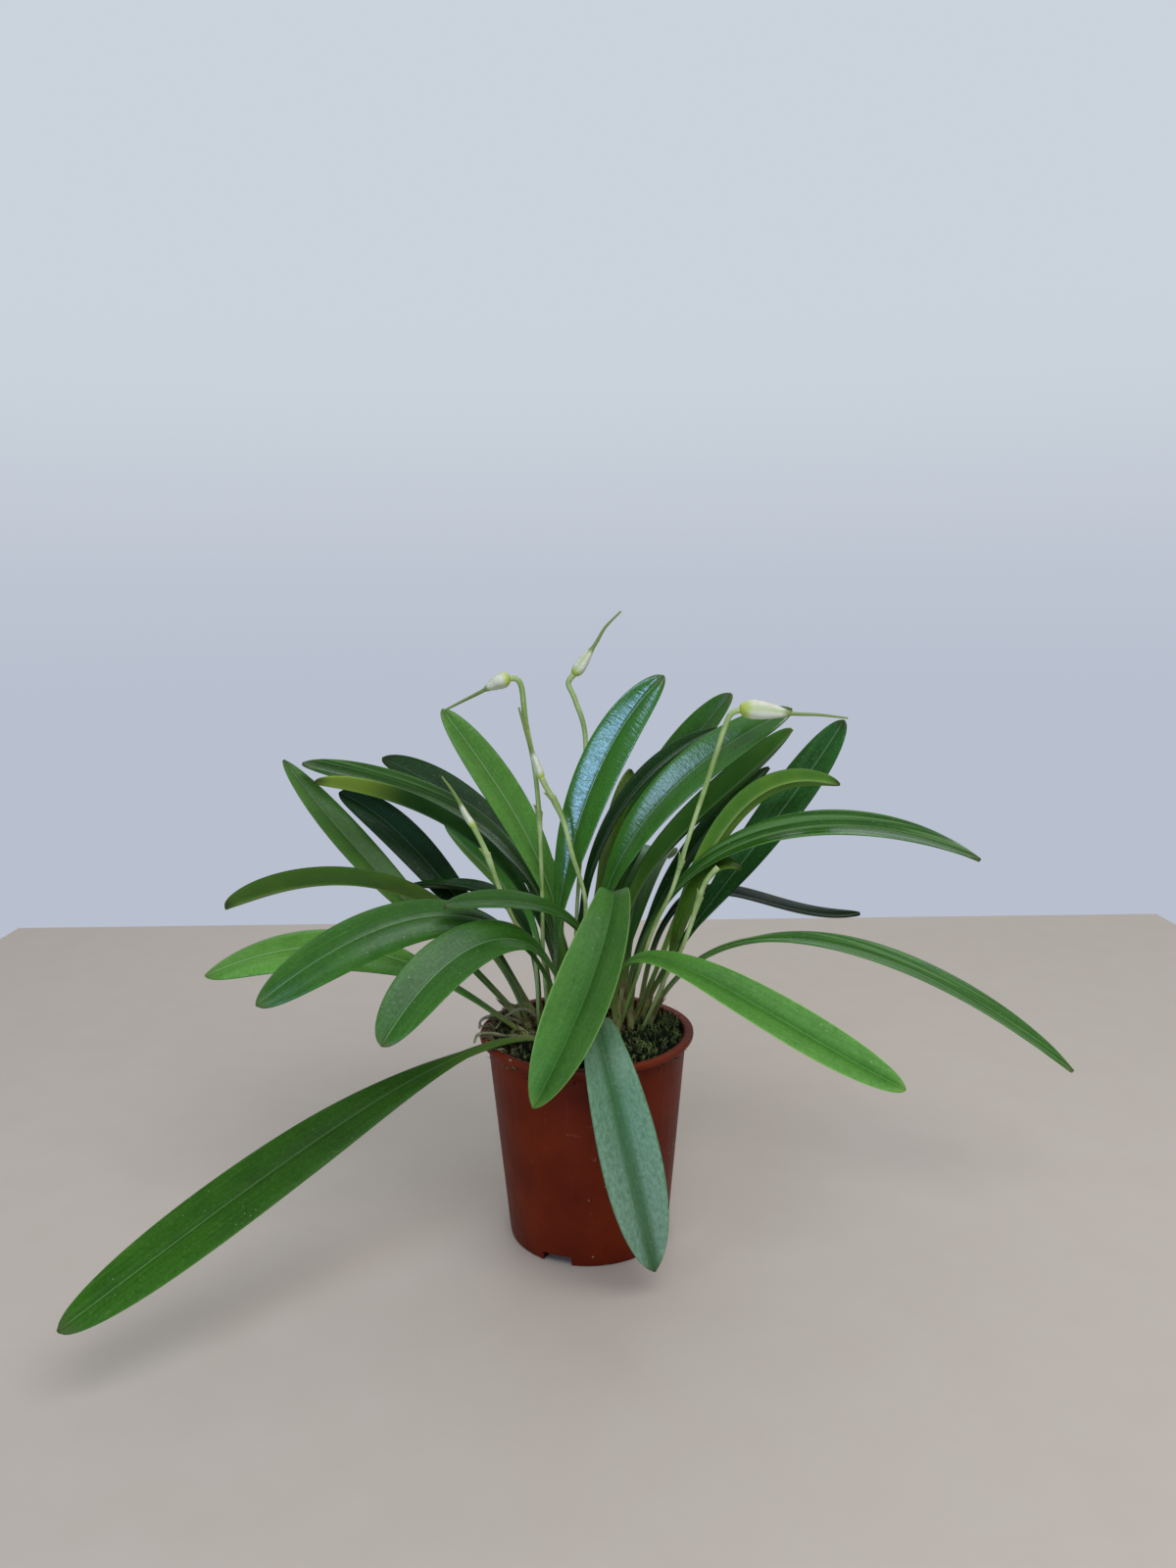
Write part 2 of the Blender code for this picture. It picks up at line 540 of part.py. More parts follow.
def tube(line, radius, sides, lobe=0.0):
    """Closed tube along a line, with three soft lobes where a lobe height is given."""
    along = np.gradient(line, axis=0)
    along /= np.linalg.norm(along, axis=1)[:, None]
    across = np.empty_like(line)
    current = np.cross(along[0], (0.0, 1.0, 0.13))
    for i, direction in enumerate(along):
        current = current - (current @ direction) * direction
        current = current / np.linalg.norm(current)
        across[i] = current
    third = np.cross(along, across)
    angle = np.arange(sides) * 2 * math.pi / sides
    reach = np.asarray(radius)[:, None] * (1.0 + lobe * np.cos(3 * angle))[None, :]
    points = (line[:, None] + across[:, None] * (reach * np.cos(angle))[:, :, None]
              + third[:, None] * (reach * np.sin(angle))[:, :, None])
    faces = []
    for i in range(len(line) - 1):
        for j in range(sides):
            a, b = i * sides + j, i * sides + (j + 1) % sides
            faces.extend(((a, b, b + sides), (a, b + sides, a + sides)))
    last = (len(line) - 1) * sides
    for j in range(1, sides - 1):
        faces.extend(((0, j + 1, j), (last, last + j, last + j + 1)))
    return points.reshape(-1, 3), faces


def stem_path(stem):
    """A stem's middle line from its foot, in its hole, to its neck, with each point's share of its length."""
    line, place = smooth_line(stem.points, STEM_STEPS, crowd=STEM_CROWD)
    along = (line[1] - line[0]) / np.linalg.norm(line[1] - line[0])
    return np.vstack([line[0] - along * STALK_DEPTH, line]), np.r_[0.0, place / place[-1]]


def build_stem(stem):
    """Make a flower stem, a little thicker at its bract and at its neck."""
    line, share = stem_path(stem)
    radius = STEM_RADIUS * (1.0 + 0.3 * np.exp(-((share - stem.bract) / 0.05) ** 2))
    add_surface(stem.name, *tube(line, radius, STEM_SIDES), "stem", sharp=80.0)


def bud_radius(bud, place):
    """Radius along a bud: a neck, the three-lobed body, and a tail that thins to its end."""
    x = np.clip(place / bud.body, 0.0, 1.0)
    swell = np.where(x < 1.0, np.sin(math.pi * x**0.62) ** 0.9, 0.0)
    tail = np.interp(place, [0.0, 0.85 * bud.body, place[-1]], [TAIL_RADIUS, TAIL_RADIUS, TAIL_END_RADIUS])
    return tail + (bud.belly - TAIL_RADIUS) * swell


def build_bud(bud):
    """Make a flower bud with its tail, just clear of its stem's neck and in line with it."""
    stem, _ = stem_path(next(stem for stem in STEMS if stem.name == bud.stem))
    along = (stem[-1] - stem[-2]) / np.linalg.norm(stem[-1] - stem[-2])
    neck = stem[-1] + along * NECK_GAP
    line, place = smooth_line([neck, *bud.points], BUD_STEPS, before=neck - along * NECK_LEAD)
    add_surface(bud.name, *tube(line, bud_radius(bud, place), BUD_SIDES, BUD_LOBE), "bud", sharp=80.0)


def main():
    """Build every sub-part of the potted plant."""
    clear_scene()
    build_pot()
    build_potting_mix()
    build_moss()
    for order, leaf in enumerate(LEAVES):
        add_surface(leaf.name, *leaf_solid(leaf, order), leaf.colour, sharp=60.0)
    for stem in STEMS:
        build_stem(stem)
    for bud in BUDS:
        build_bud(bud)


main()
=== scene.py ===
"""Looks of a potted masdevallia orchid: pot, filling, moss, leaves, flower stems and buds.

Lengths are in millimetres in the tables and the shape functions, and MM turns them into the scene's metres.
+Z is up, -Y is the front, and the origin is the middle of the pot's base.
"""

import logging
import math
from dataclasses import dataclass, field
from enum import Enum

import bpy
import numpy as np
from mathutils import Matrix, Vector


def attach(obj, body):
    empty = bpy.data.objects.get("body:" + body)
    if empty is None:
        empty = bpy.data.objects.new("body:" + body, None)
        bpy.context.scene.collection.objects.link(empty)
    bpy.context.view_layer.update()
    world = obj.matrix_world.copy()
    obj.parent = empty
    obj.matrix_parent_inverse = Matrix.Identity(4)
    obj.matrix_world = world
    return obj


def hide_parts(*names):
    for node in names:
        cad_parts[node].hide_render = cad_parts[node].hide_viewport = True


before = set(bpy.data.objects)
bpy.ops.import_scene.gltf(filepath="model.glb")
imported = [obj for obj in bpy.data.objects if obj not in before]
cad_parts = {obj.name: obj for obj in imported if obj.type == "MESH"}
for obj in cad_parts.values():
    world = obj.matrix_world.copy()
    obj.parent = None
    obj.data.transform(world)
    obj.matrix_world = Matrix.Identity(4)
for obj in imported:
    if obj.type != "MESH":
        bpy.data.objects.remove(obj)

logging.basicConfig(level=logging.INFO, format="%(message)s")
LOG = logging.getLogger("orchid")

MM = 0.001
Point = tuple[float, float, float]
Colour = tuple[float, float, float, float]
# Directions that no stem, no shoot and no lying thread runs along, to lay rings of points by
BACK: Point = (0.0, 1.0, 0.13)
ASLANT: Point = (0.31, 0.77, 0.2)
STEEP: Point = (0.2, 0.35, 0.9)


def tint(red: int, green: int, blue: int) -> Colour:
    """Turn a display colour into the linear colour that a shader takes.

    Each channel from 0 to 255 is divided by 255, then raised by the display curve's power.

    Args:
        red: Red, from 0 to 255.
        green: Green, from 0 to 255.
        blue: Blue, from 0 to 255.

    Returns:
        The linear colour, opaque.
    """
    channels = np.array([red, green, blue]) / 255.0
    curve = np.where(channels <= 0.04045, channels / 12.92, ((channels + 0.055) / 1.055) ** 2.4)
    return (float(curve[0]), float(curve[1]), float(curve[2]), 1.0)


# Shapes


@dataclass
class Surface:
    """A closed surface of triangles with values at its points.

    Attributes:
        points: Places in millimetres, one row a point.
        faces: Point numbers, one row a triangle.
        values: Named values, one a point, which materials read.
    """

    points: np.ndarray
    faces: np.ndarray
    values: dict[str, np.ndarray] = field(default_factory=dict)

    @staticmethod
    def join(parts: list["Surface"]) -> "Surface":
        """Put several surfaces in one.

        Args:
            parts: Surfaces with the same names of values.

        Returns:
            One surface, with each part's point numbers moved past those before it.
        """
        starts = np.cumsum([0] + [len(part.points) for part in parts[:-1]])
        return Surface(
            np.vstack([part.points for part in parts]),
            np.vstack([part.faces + start for part, start in zip(parts, starts)]),
            {key: np.concatenate([part.values[key] for part in parts]) for key in parts[0].values},
        )

    @staticmethod
    def of_rings(points: np.ndarray, closed: bool = False, **values: object) -> "Surface":
        """Lay a surface over rings of points.

        Args:
            points: Points by ring, side and coordinate.
            closed: Whether the last ring joins the first; otherwise both ends are closed.
            values: Named values, each one number, a column for the rings, a row for the sides, or all.

        Returns:
            The surface.
        """
        whole = np.ones(points.shape[:2])
        return Surface(points.reshape(-1, 3), ring_faces(*whole.shape, closed),
                       {key: (numbers * whole).ravel() for key, numbers in values.items()})

    def place(self, name: str, finish: bpy.types.Material, slot: str, stands_for: tuple[str, ...] = (),
              crease: float = 180.0) -> bpy.types.Object:
        """Make the surface a piece of the plant.

        Args:
            name: The piece's name.
            finish: Its material.
            slot: The record's material slot; not used.
            stands_for: The solids that it is shown for.
            crease: The angle in degrees above which an edge looks sharp.

        Returns:
            The new object, riding on the root body.
        """
        mesh = bpy.data.meshes.new(name)
        mesh.vertices.add(len(self.points))
        mesh.vertices.foreach_set("co", (self.points * MM).astype(np.float32).ravel())
        mesh.loops.add(self.faces.size)
        mesh.loops.foreach_set("vertex_index", self.faces.astype(np.int32).ravel())
        mesh.polygons.add(len(self.faces))
        mesh.polygons.foreach_set("loop_start", np.arange(0, self.faces.size, 3, dtype=np.int32))
        mesh.update(calc_edges=True)
        mesh.validate()
        for key, numbers in self.values.items():
            attribute = mesh.attributes.new(key, "FLOAT", "POINT")
            attribute.data.foreach_set("value", np.asarray(numbers, np.float32))
        mesh.shade_smooth()
        if crease < 180.0:
            mesh.set_sharp_from_angle(angle=math.radians(crease))
        mesh.materials.append(finish)
        piece = bpy.data.objects.new(name, mesh)
        bpy.context.scene.collection.objects.link(piece)
        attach(piece, "root")
        if stands_for:
            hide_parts(*stands_for)
        LOG.info("%s: %d triangles", name, len(self.faces))
        return piece


def unit(vectors: np.ndarray) -> np.ndarray:
    """Scale vectors along the last axis to length one."""
    return vectors / np.maximum(np.linalg.norm(vectors, axis=-1, keepdims=True), 1e-9)


def ease(value: np.ndarray, low: float, high: float) -> np.ndarray:
    """Rise smoothly from 0 at low to 1 at high: with x the share of the way, 3x squared less 2x cubed."""
    x = np.clip((value - low) / (high - low), 0.0, 1.0)
    return x * x * (3.0 - 2.0 * x)


def bell(value: np.ndarray, width: float) -> np.ndarray:
    """Bell curve: e to the power of minus value over width, squared."""
    return np.exp(-((value / width) ** 2))


def ring_faces(rows: int, columns: int, closed: bool = False) -> np.ndarray:
    """Triangles over rings of points that follow each other.

    Args:
        rows: How many rings.
        columns: Points in each ring.
        closed: Whether the last ring joins the first; otherwise each end gets a fan of triangles.

    Returns:
        Triangles of point numbers, facing out where each ring runs anticlockwise seen against its path.
    """
    i, j = np.meshgrid(np.arange(rows if closed else rows - 1), np.arange(columns), indexing="ij")
    a = (i * columns + j).ravel()
    b = (i * columns + (j + 1) % columns).ravel()
    c = (((i + 1) % rows) * columns + (j + 1) % columns).ravel()
    d = (((i + 1) % rows) * columns + j).ravel()
    faces = np.concatenate([np.stack([a, b, c], 1), np.stack([a, c, d], 1)])
    if closed:
        return faces
    k = np.arange(1, columns - 1)
    last = (rows - 1) * columns
    start = np.stack([np.zeros_like(k), k + 1, k], 1)
    end = np.stack([np.full_like(k, last), last + k, last + k + 1], 1)
    return np.concatenate([faces, start, end])


def angles_round(count: int) -> np.ndarray:
    """Angles spaced evenly round a full turn."""
    return np.arange(count) * 2 * math.pi / count


def repeated(faces: np.ndarray, stride: int, copies: int) -> np.ndarray:
    """Repeat triangles for copies of a shape that each have stride points."""
    return (faces[None] + (np.arange(copies) * stride)[:, None, None]).reshape(-1, 3)


def even_cubic(corners: np.ndarray, count: int) -> np.ndarray:
    """Points evenly spaced on a cubic curve.

    With u = 1 - t the curve is u cubed times the first corner, plus 3 u squared t times the second, plus
    3 u t squared times the third, plus t cubed times the last.

    Args:
        corners: Four points, one a row.
        count: How many points to give.

    Returns:
        The points, one a row.
    """
    t = np.linspace(0.0, 1.0, 4 * count)[:, None]
    u = 1.0 - t
    line = u**3 * corners[0] + 3 * u * u * t * corners[1] + 3 * u * t * t * corners[2] + t**3 * corners[3]
    return spaced(line, np.linspace(0.0, 1.0, count))


def distances(line: np.ndarray) -> np.ndarray:
    """Distance along a line at each of its points."""
    return np.r_[0.0, np.cumsum(np.linalg.norm(np.diff(line, axis=0), axis=1))]


def between(wanted: np.ndarray, known: np.ndarray, rows: np.ndarray) -> np.ndarray:
    """Points at wanted numbers, found by straight lines between rows of points at known numbers."""
    return np.stack([np.interp(wanted, known, rows[:, k]) for k in range(3)], axis=-1)


def spaced(line: np.ndarray, shares: np.ndarray) -> np.ndarray:
    """Points of a line at shares of its length."""
    run = distances(line)
    return between(shares * run[-1], run, line)


def smooth_line(corners: np.ndarray, before: np.ndarray | None = None) -> np.ndarray:
    """A smooth curve through points, 30 steps between each two.

    Between b and c, with a before and d after, it is half of 2b + (c - a)t + (2a - 5b + 4c - d)t squared
    + (3b - a - 3c + d)t cubed.

    Args:
        corners: The points to pass through.
        before: A point that the curve comes from, or None to start straight.

    Returns:
        The curve's points, one a row.
    """
    corners = np.asarray(corners, float)
    before = 2 * corners[0] - corners[1] if before is None else before
    padded = np.vstack([before, corners, 2 * corners[-1] - corners[-2]])
    a, b, c, d = (padded[k : len(padded) - 3 + k, None] for k in range(4))
    t = np.linspace(0.0, 1.0, 30, endpoint=False)[None, :, None]
    curve = 0.5 * (2 * b + (c - a) * t + (2 * a - 5 * b + 4 * c - d) * t**2 + (3 * b - a - 3 * c + d) * t**3)
    return np.vstack([curve.reshape(-1, 3), corners[-1:]])


def axes_along(line: np.ndarray, reference: Point) -> tuple[np.ndarray, np.ndarray]:
    """Two directions square to a line at each point, the first also square to a reference direction.

    Args:
        line: Points along the last-but-one axis.
        reference: A direction that the line never runs along.

    Returns:
        The directions, in the line's shape.
    """
    along = unit(np.gradient(line, axis=-2))
    across = unit(np.cross(along, np.asarray(reference)))
    return across, np.cross(along, across)


def tube(line: np.ndarray, radius: np.ndarray, sides: int, reference: Point = BACK) -> np.ndarray:
    """Ring points round a line: the line's point, plus radius times the cosine and sine of the turn.

    Args:
        line: Points, one a row.
        radius: A radius for each point, or for each point and side.
        sides: Points in a ring.
        reference: A direction that the line never runs along.

    Returns:
        Points in rows, columns and coordinates.
    """
    across, third = axes_along(line, reference)
    angle = angles_round(sides)
    reach = radius if radius.ndim == 2 else radius[:, None] * np.ones(sides)[None, :]
    return (line[:, None] + across[:, None] * (reach * np.cos(angle))[:, :, None]
            + third[:, None] * (reach * np.sin(angle))[:, :, None])


def many_tubes(lines: np.ndarray, radius: np.ndarray, sides: int, reference: Point) -> np.ndarray:
    """Ring points round many lines at once, as tube does for one.

    Args:
        lines: Points by line, place and coordinate.
        radius: Radii that fit lines and places, with two more axes of length one.
        sides: Points in a ring.
        reference: A direction that no line runs along.

    Returns:
        Points by line, place, side and coordinate.
    """
    across, third = axes_along(lines, reference)
    angle = angles_round(sides)
    return lines[:, :, None] + radius * (across[:, :, None] * np.cos(angle)[:, None]
                                         + third[:, :, None] * np.sin(angle)[:, None])


def thin_shell(centre: np.ndarray, across: np.ndarray, third: np.ndarray,
               reach: tuple[np.ndarray, np.ndarray], wall: float, share: np.ndarray) -> Surface:
    """A thin shell round a line, open at both ends: rings up outside, and back down inside by its wall.

    Each point is the centre, plus across times its reach times the cosine of the turn, plus third times its
    own reach times the sine.

    Args:
        centre: The middle of each point's ring, by ring and side.
        across: The first direction square to the line.
        third: The second direction.
        reach: The outer radii along the two directions.
        wall: The shell's thickness.
        share: Shares of the way up, one a ring, in a column.

    Returns:
        The shell, with the way up and the turn of each point.
    """
    angle = angles_round(centre.shape[1])
    outside, inside = (centre + across * ((reach[0] - inset) * np.cos(angle))[:, :, None]
                       + third * ((reach[1] - inset) * np.sin(angle))[:, :, None] for inset in (0.0, wall))
    return Surface.of_rings(np.concatenate([outside, inside[::-1]]), closed=True,
                            along=np.concatenate([share, share[::-1]]), turn=angle)


class Rumple:
    """Uneven ground: a sum of sine waves with seeded directions, lengths and shifts."""

    def __init__(self, seed: int, wavelength: float, count: int = 9) -> None:
        """Draw the waves.

        Args:
            seed: The seed of the draw.
            wavelength: The mean length of a wave, in millimetres.
            count: How many waves are summed.
        """
        draw = np.random.default_rng(seed)
        size = 2 * math.pi / (wavelength * draw.uniform(0.6, 1.7, count))
        heading = draw.uniform(0.0, 2 * math.pi, count)
        shift = draw.uniform(0, 6.28, count)
        self.waves = np.stack([size * np.cos(heading), size * np.sin(heading), shift], 1)

    def at(self, x: np.ndarray, y: np.ndarray) -> np.ndarray:
        """Height at places: the mean of the sines of each wave, times 1.6."""
        phase = x[..., None] * self.waves[:, 0] + y[..., None] * self.waves[:, 1] + self.waves[:, 2]
        return 1.6 * np.sin(phase).mean(axis=-1)


# Finishes


class Tree:
    """The nodes of one material, with short ways to add and join them."""

    def __init__(self, name: str) -> None:
        """Start a material that has only its shader.

        Args:
            name: Its name.
        """
        self.material = bpy.data.materials.new(name)
        self.material.use_nodes = True
        self.nodes = self.material.node_tree.nodes
        self.links = self.material.node_tree.links
        self.shader = self.nodes["Principled BSDF"]
        self.place = self.nodes.new("ShaderNodeTexCoord").outputs["Object"]

    def feed(self, socket: bpy.types.NodeSocket, value: object) -> None:
        """Join a socket to an output, or set it to a constant.

        Args:
            socket: The socket.
            value: Another node's output, a number, a colour or a vector.
        """
        if isinstance(value, bpy.types.NodeSocket):
            self.links.new(value, socket)
        else:
            socket.default_value = value

    def fed(self, node: bpy.types.Node, inputs: dict[int | str, object]) -> bpy.types.Node:
        """Feed several inputs of a node.

        Args:
            node: The node.
            inputs: What goes into each input, by the input's number or name.

        Returns:
            The same node.
        """
        for key, value in inputs.items():
            self.feed(node.inputs[key], value)
        return node

    def shade(self, **values: object) -> None:
        """Set or join the shader's sockets; an underscore in a name stands for a space."""
        self.fed(self.shader, {key.replace("_", " "): value for key, value in values.items()})

    def value(self, name: str) -> bpy.types.NodeSocket:
        """Read one of the surface's own values.

        Args:
            name: The value's name.

        Returns:
            The value at each point.
        """
        node = self.nodes.new("ShaderNodeAttribute")
        node.attribute_name = name
        return node.outputs["Fac"]

    def math(self, operation: str, first: object, second: object = 0.0) -> bpy.types.NodeSocket:
        """Work out one operation on two numbers.

        Args:
            operation: The operation's name in Blender.
            first: The first number.
            second: The second number, where the operation takes two.

        Returns:
            The result.
        """
        node = self.nodes.new("ShaderNodeMath")
        node.operation = operation
        return self.fed(node, {0: first, 1: second}).outputs[0]

    def times(self, first: object, second: object) -> bpy.types.NodeSocket:
        """The first number times the second."""
        return self.math("MULTIPLY", first, second)

    def plus(self, first: object, second: object) -> bpy.types.NodeSocket:
        """The first number plus the second."""
        return self.math("ADD", first, second)

    def mix(self, share: object, first: object, second: object, blend: str = "MIX") -> bpy.types.NodeSocket:
        """Mix two colours.

        Args:
            share: The share of the second colour, from 0 to 1.
            first: The first colour.
            second: The second colour.
            blend: How they mix.

        Returns:
            The mixed colour.
        """
        node = self.nodes.new("ShaderNodeMix")
        node.data_type, node.blend_type = "RGBA", blend
        return self.fed(node, {0: share, 6: first, 7: second}).outputs[2]

    def rise(self, number: object, low: float, high: float, start: float = 0.0,
             end: float = 1.0) -> bpy.types.NodeSocket:
        """Map a number smoothly, and keep it level outside the stretch.

        Args:
            number: The number.
            low: Where the stretch starts.
            high: Where it ends.
            start: The result at low.
            end: The result at high.

        Returns:
            The mapped number.
        """
        node = self.nodes.new("ShaderNodeMapRange")
        node.interpolation_type = "SMOOTHSTEP"
        return self.fed(node, dict(enumerate((number, low, high, start, end)))).outputs[0]

    def vector(self, x: object, y: object, z: object) -> bpy.types.NodeSocket:
        """Join three numbers in a vector."""
        return self.fed(self.nodes.new("ShaderNodeCombineXYZ"), {0: x, 1: y, 2: z}).outputs[0]

    def split(self, vector: bpy.types.NodeSocket) -> list[bpy.types.NodeSocket]:
        """Split a vector in its three numbers."""
        return list(self.fed(self.nodes.new("ShaderNodeSeparateXYZ"), {0: vector}).outputs)

    def stretch(self, vector: bpy.types.NodeSocket, scale: Point) -> bpy.types.NodeSocket:
        """Scale a vector along each axis."""
        return self.fed(self.nodes.new("ShaderNodeMapping"), {"Vector": vector, "Scale": scale}).outputs[0]

    def noise(self, vector: object, scale: float, detail: float = 2.0, rough: float = 0.5,
              twist: float = 0.0) -> bpy.types.NodeSocket:
        """Soft noise from 0 to 1, with a scale in lumps for each unit of the vector."""
        inputs = {"Vector": vector, "Scale": scale, "Detail": detail, "Roughness": rough, "Distortion": twist}
        return self.fed(self.nodes.new("ShaderNodeTexNoise"), inputs).outputs[0]

    def cells(self, vector: object, scale: float) -> bpy.types.NodeSocket:
        """Distance to the nearest of many scattered points."""
        node = self.nodes.new("ShaderNodeTexVoronoi")
        return self.fed(node, {"Vector": vector, "Scale": scale}).outputs["Distance"]

    def bump(self, height: object, distance: float, strength: float = 1.0,
             under: bpy.types.NodeSocket | None = None) -> bpy.types.NodeSocket:
        """Relief from a height.

        Args:
            height: The height, from 0 to 1.
            distance: The height of 1, in metres.
            strength: How strongly the relief shows.
            under: Another relief that this one lies on.

        Returns:
            The relief.
        """
        inputs = {"Height": height, "Distance": distance, "Strength": strength}
        if under is not None:
            inputs["Normal"] = under
        return self.fed(self.nodes.new("ShaderNodeBump"), inputs).outputs[0]


@dataclass(frozen=True)
class LeafFinish:
    """Waxy leaf: a mottled green with a midrib line, fine veins, a margin, a pale underside and a stalk.

    Attributes:
        slot: The record's material slot.
        base: The upper face's colour.
        deep: Its darker patches, and the painted shade in its groove and between its ridge lines.
        vein: The midrib, the fine veins, the pale waxy mottle, and the painted highlights on the ridge lines.
        margin: The margins.
        under: The underside.
        tip: The last few millimetres.
        stalk: The stalk.
        foot: The stalk's foot.
        ripe: The yellow of an ageing end.
        dust: Fine pale specks on the upper face.
        rough: The upper face's roughness.
        line: How strongly the midrib's line shows.
        bloom_and_sheen: How strongly a pale waxy mottle covers the upper face, partly a real waxy coat and
            partly a painted sheen.
        shine: The strength of its mirrored light.
        pores: The depth of its pores, in metres.
        label: What is added to the slot's name to name the material.
    """

    slot: str
    base: Colour
    deep: Colour
    vein: Colour
    margin: Colour
    under: Colour
    tip: Colour
    stalk: Colour = tint(88, 116, 44)
    foot: Colour = tint(164, 168, 98)
    ripe: Colour = tint(160, 184, 66)
    dust: Colour = tint(168, 186, 150)
    rough: float = 0.32
    line: float = 0.62
    bloom_and_sheen: float = 0.0
    shine: float = 0.30
    pores: float = 0.00007
    label: str = ""

    def build(self) -> bpy.types.Material:
        """Make the leaf's material."""
        return LeafTree(self).dressed()


class LeafTree(Tree):
    """The nodes of a leaf's material: the leaf's own values, and the patterns that run over it."""

    PATCH_GRAIN = 70.0
    SPECK_GRAIN = 900.0
    DUST_GRAIN = 330.0

    def __init__(self, finish: LeafFinish) -> None:
        """Read the leaf's values and lay its patterns.

        Args:
            finish: The finish to make.
        """
        super().__init__(finish.slot + finish.label)
        self.finish = finish
        self.along, self.under, self.tone = (self.value(key) for key in ("along", "under", "tone"))
        self.beside, self.run, self.gloss = (self.value(key) for key in ("beside", "run", "gloss"))
        self.near = self.math("ABSOLUTE", self.beside)
        self.patches = self.noise(self.place, self.PATCH_GRAIN, 4.0, 0.6)
        self.specks = self.noise(self.place, self.SPECK_GRAIN, 2.0, 0.6)
        self.threads = self.drawn_out(2.1, 0.03, 3.0, 0.6)

    def drawn_out(self, across: float, along: float, detail: float, rough: float = 0.5,
                  twist: float = 0.0) -> bpy.types.NodeSocket:
        """Noise that follows the leaf, with its own lumps a millimetre across and along it."""
        spot = self.vector(self.times(self.beside, across), self.times(self.run, along), self.tone)
        return self.noise(spot, 1.0, detail, rough, twist)

    def mottled(self) -> bpy.types.NodeSocket:
        """The upper face's green: darker patches, fine threads along it, and dark and pale specks.

        Returns:
            The colour.
        """
        base, deep, vein = self.finish.base, self.finish.deep, self.finish.vein
        green = self.mix(self.rise(self.patches, 0.35, 0.75, end=0.45), base, deep)
        green = self.mix(self.rise(self.threads, 0.50, 0.74, end=0.13), green, vein)
        green = self.mix(self.rise(self.threads, 0.26, 0.48, 0.24, 0.0), green, deep)
        green = self.mix(self.rise(self.specks, 0.50, 0.75, end=0.45), green, deep)
        return self.mix(self.rise(self.specks, 0.28, 0.44, 0.22, 0.0), green, vein)

    def upper_face(self) -> bpy.types.NodeSocket:
        """The upper face: the mottled green, a pale waxy mottle with painted sheen, painted shade in the
        groove, painted light and dark bands along the ridge lines, the midrib line and dust.

        The pale waxy mottle, partly a painted sheen, keeps off the midrib and grows along the leaf. The
        midrib's line is broken by the specks.

        Returns:
            The colour.
        """
        deep, vein, bloom_and_sheen = self.finish.deep, self.finish.vein, self.finish.bloom_and_sheen
        # A pale waxy mottle: partly a real waxy coat, partly a painted sheen
        wax_and_sheen = self.rise(self.drawn_out(0.8, 0.38, 5.0, 0.72), 0.30, 0.66, 0.3, 1.0)
        wax_and_sheen = self.times(wax_and_sheen, self.rise(self.near, 0.9, 4.2, 0.10, 1.0))
        wax_and_sheen = self.times(wax_and_sheen, self.rise(self.along, 0.25, 0.80, 0.45 * bloom_and_sheen, bloom_and_sheen))
        upper = self.mix(wax_and_sheen, self.mottled(), vein)
        # Painted shade: the green is painted darker along the midrib's groove
        groove = self.times(self.rise(self.near, 0.3, 2.2, 0.30, 0.0), self.rise(self.along, 0.2, 0.4))
        upper = self.mix(groove, upper, deep)
        # Painted highlights and shade: light bands along the ridge lines and dark bands between them
        bands, ridges = self.drawn_out(0.75, 0.014, 1.0), self.value("ridges")
        ridge_highlight = self.times(self.rise(bands, 0.52, 0.64), ridges)
        valley_shade = self.times(self.rise(bands, 0.36, 0.48, 1.0, 0.0), ridges)
        upper = self.mix(self.times(ridge_highlight, 0.55), upper, vein)
        upper = self.mix(self.times(valley_shade, 0.7), upper, deep)
        broken = self.plus(self.near, self.times(self.specks, 0.22))
        upper = self.mix(self.rise(broken, 0.20, 0.50, self.finish.line, 0.0), upper, vein)
        dust = self.rise(self.cells(self.place, self.DUST_GRAIN), 0.05, 0.10, 0.6, 0.0)
        return self.mix(self.times(dust, self.rise(self.patches, 0.48, 0.56)), upper, self.finish.dust)

    def lower_face(self) -> bpy.types.NodeSocket:
        """The underside: paler, with patches of the upper green and a broad pale midrib.

        Returns:
            The colour.
        """
        lower = self.mix(self.rise(self.patches, 0.35, 0.7), self.finish.under, self.finish.base)
        return self.mix(self.rise(self.near, 0.2, 1.1, 0.6, 0.0), lower, self.finish.vein)

    def colour(self) -> bpy.types.NodeSocket:
        """Both faces with their margins, the ripe end and the tip, then the lightness and the stalk.

        Returns:
            The colour.
        """
        colour = self.mix(self.under, self.upper_face(), self.lower_face())
        out = self.math("ABSOLUTE", self.value("across"))
        rim = self.rise(self.plus(out, self.times(self.specks, 0.04)), 0.95, 1.02, end=0.7)
        colour = self.mix(self.times(rim, self.rise(self.along, 0.2, 0.35)), colour, self.finish.margin)
        ripe = self.times(self.value("ripe"), self.rise(self.patches, 0.2, 0.5, 0.7, 1.0))
        colour = self.mix(ripe, colour, self.finish.ripe)
        ends = self.rise(self.plus(self.along, self.times(self.patches, 0.04)), 0.975, 1.03)
        colour = self.mix(ends, colour, self.finish.tip)
        colour = self.mix(1.0, colour, self.value("light"), "MULTIPLY")
        colour = self.mix(self.rise(self.along, 0.08, 0.32, 0.85, 0.0), colour, self.finish.stalk)
        foot = self.rise(self.plus(self.run, self.times(self.patches, 14.0)), 6.0, 34.0, 0.8, 0.0)
        return self.mix(foot, colour, self.finish.foot)

    def roughness(self) -> bpy.types.NodeSocket:
        """Roughness: the finish's own, uneven by the specks, more on the underside and less where glossy.

        Returns:
            The roughness.
        """
        rough = self.rise(self.specks, 0.3, 0.7, self.finish.rough - 0.05, self.finish.rough + 0.06)
        rough = self.plus(rough, self.times(self.under, 0.12))
        return self.math("SUBTRACT", rough, self.times(self.gloss, 0.16))

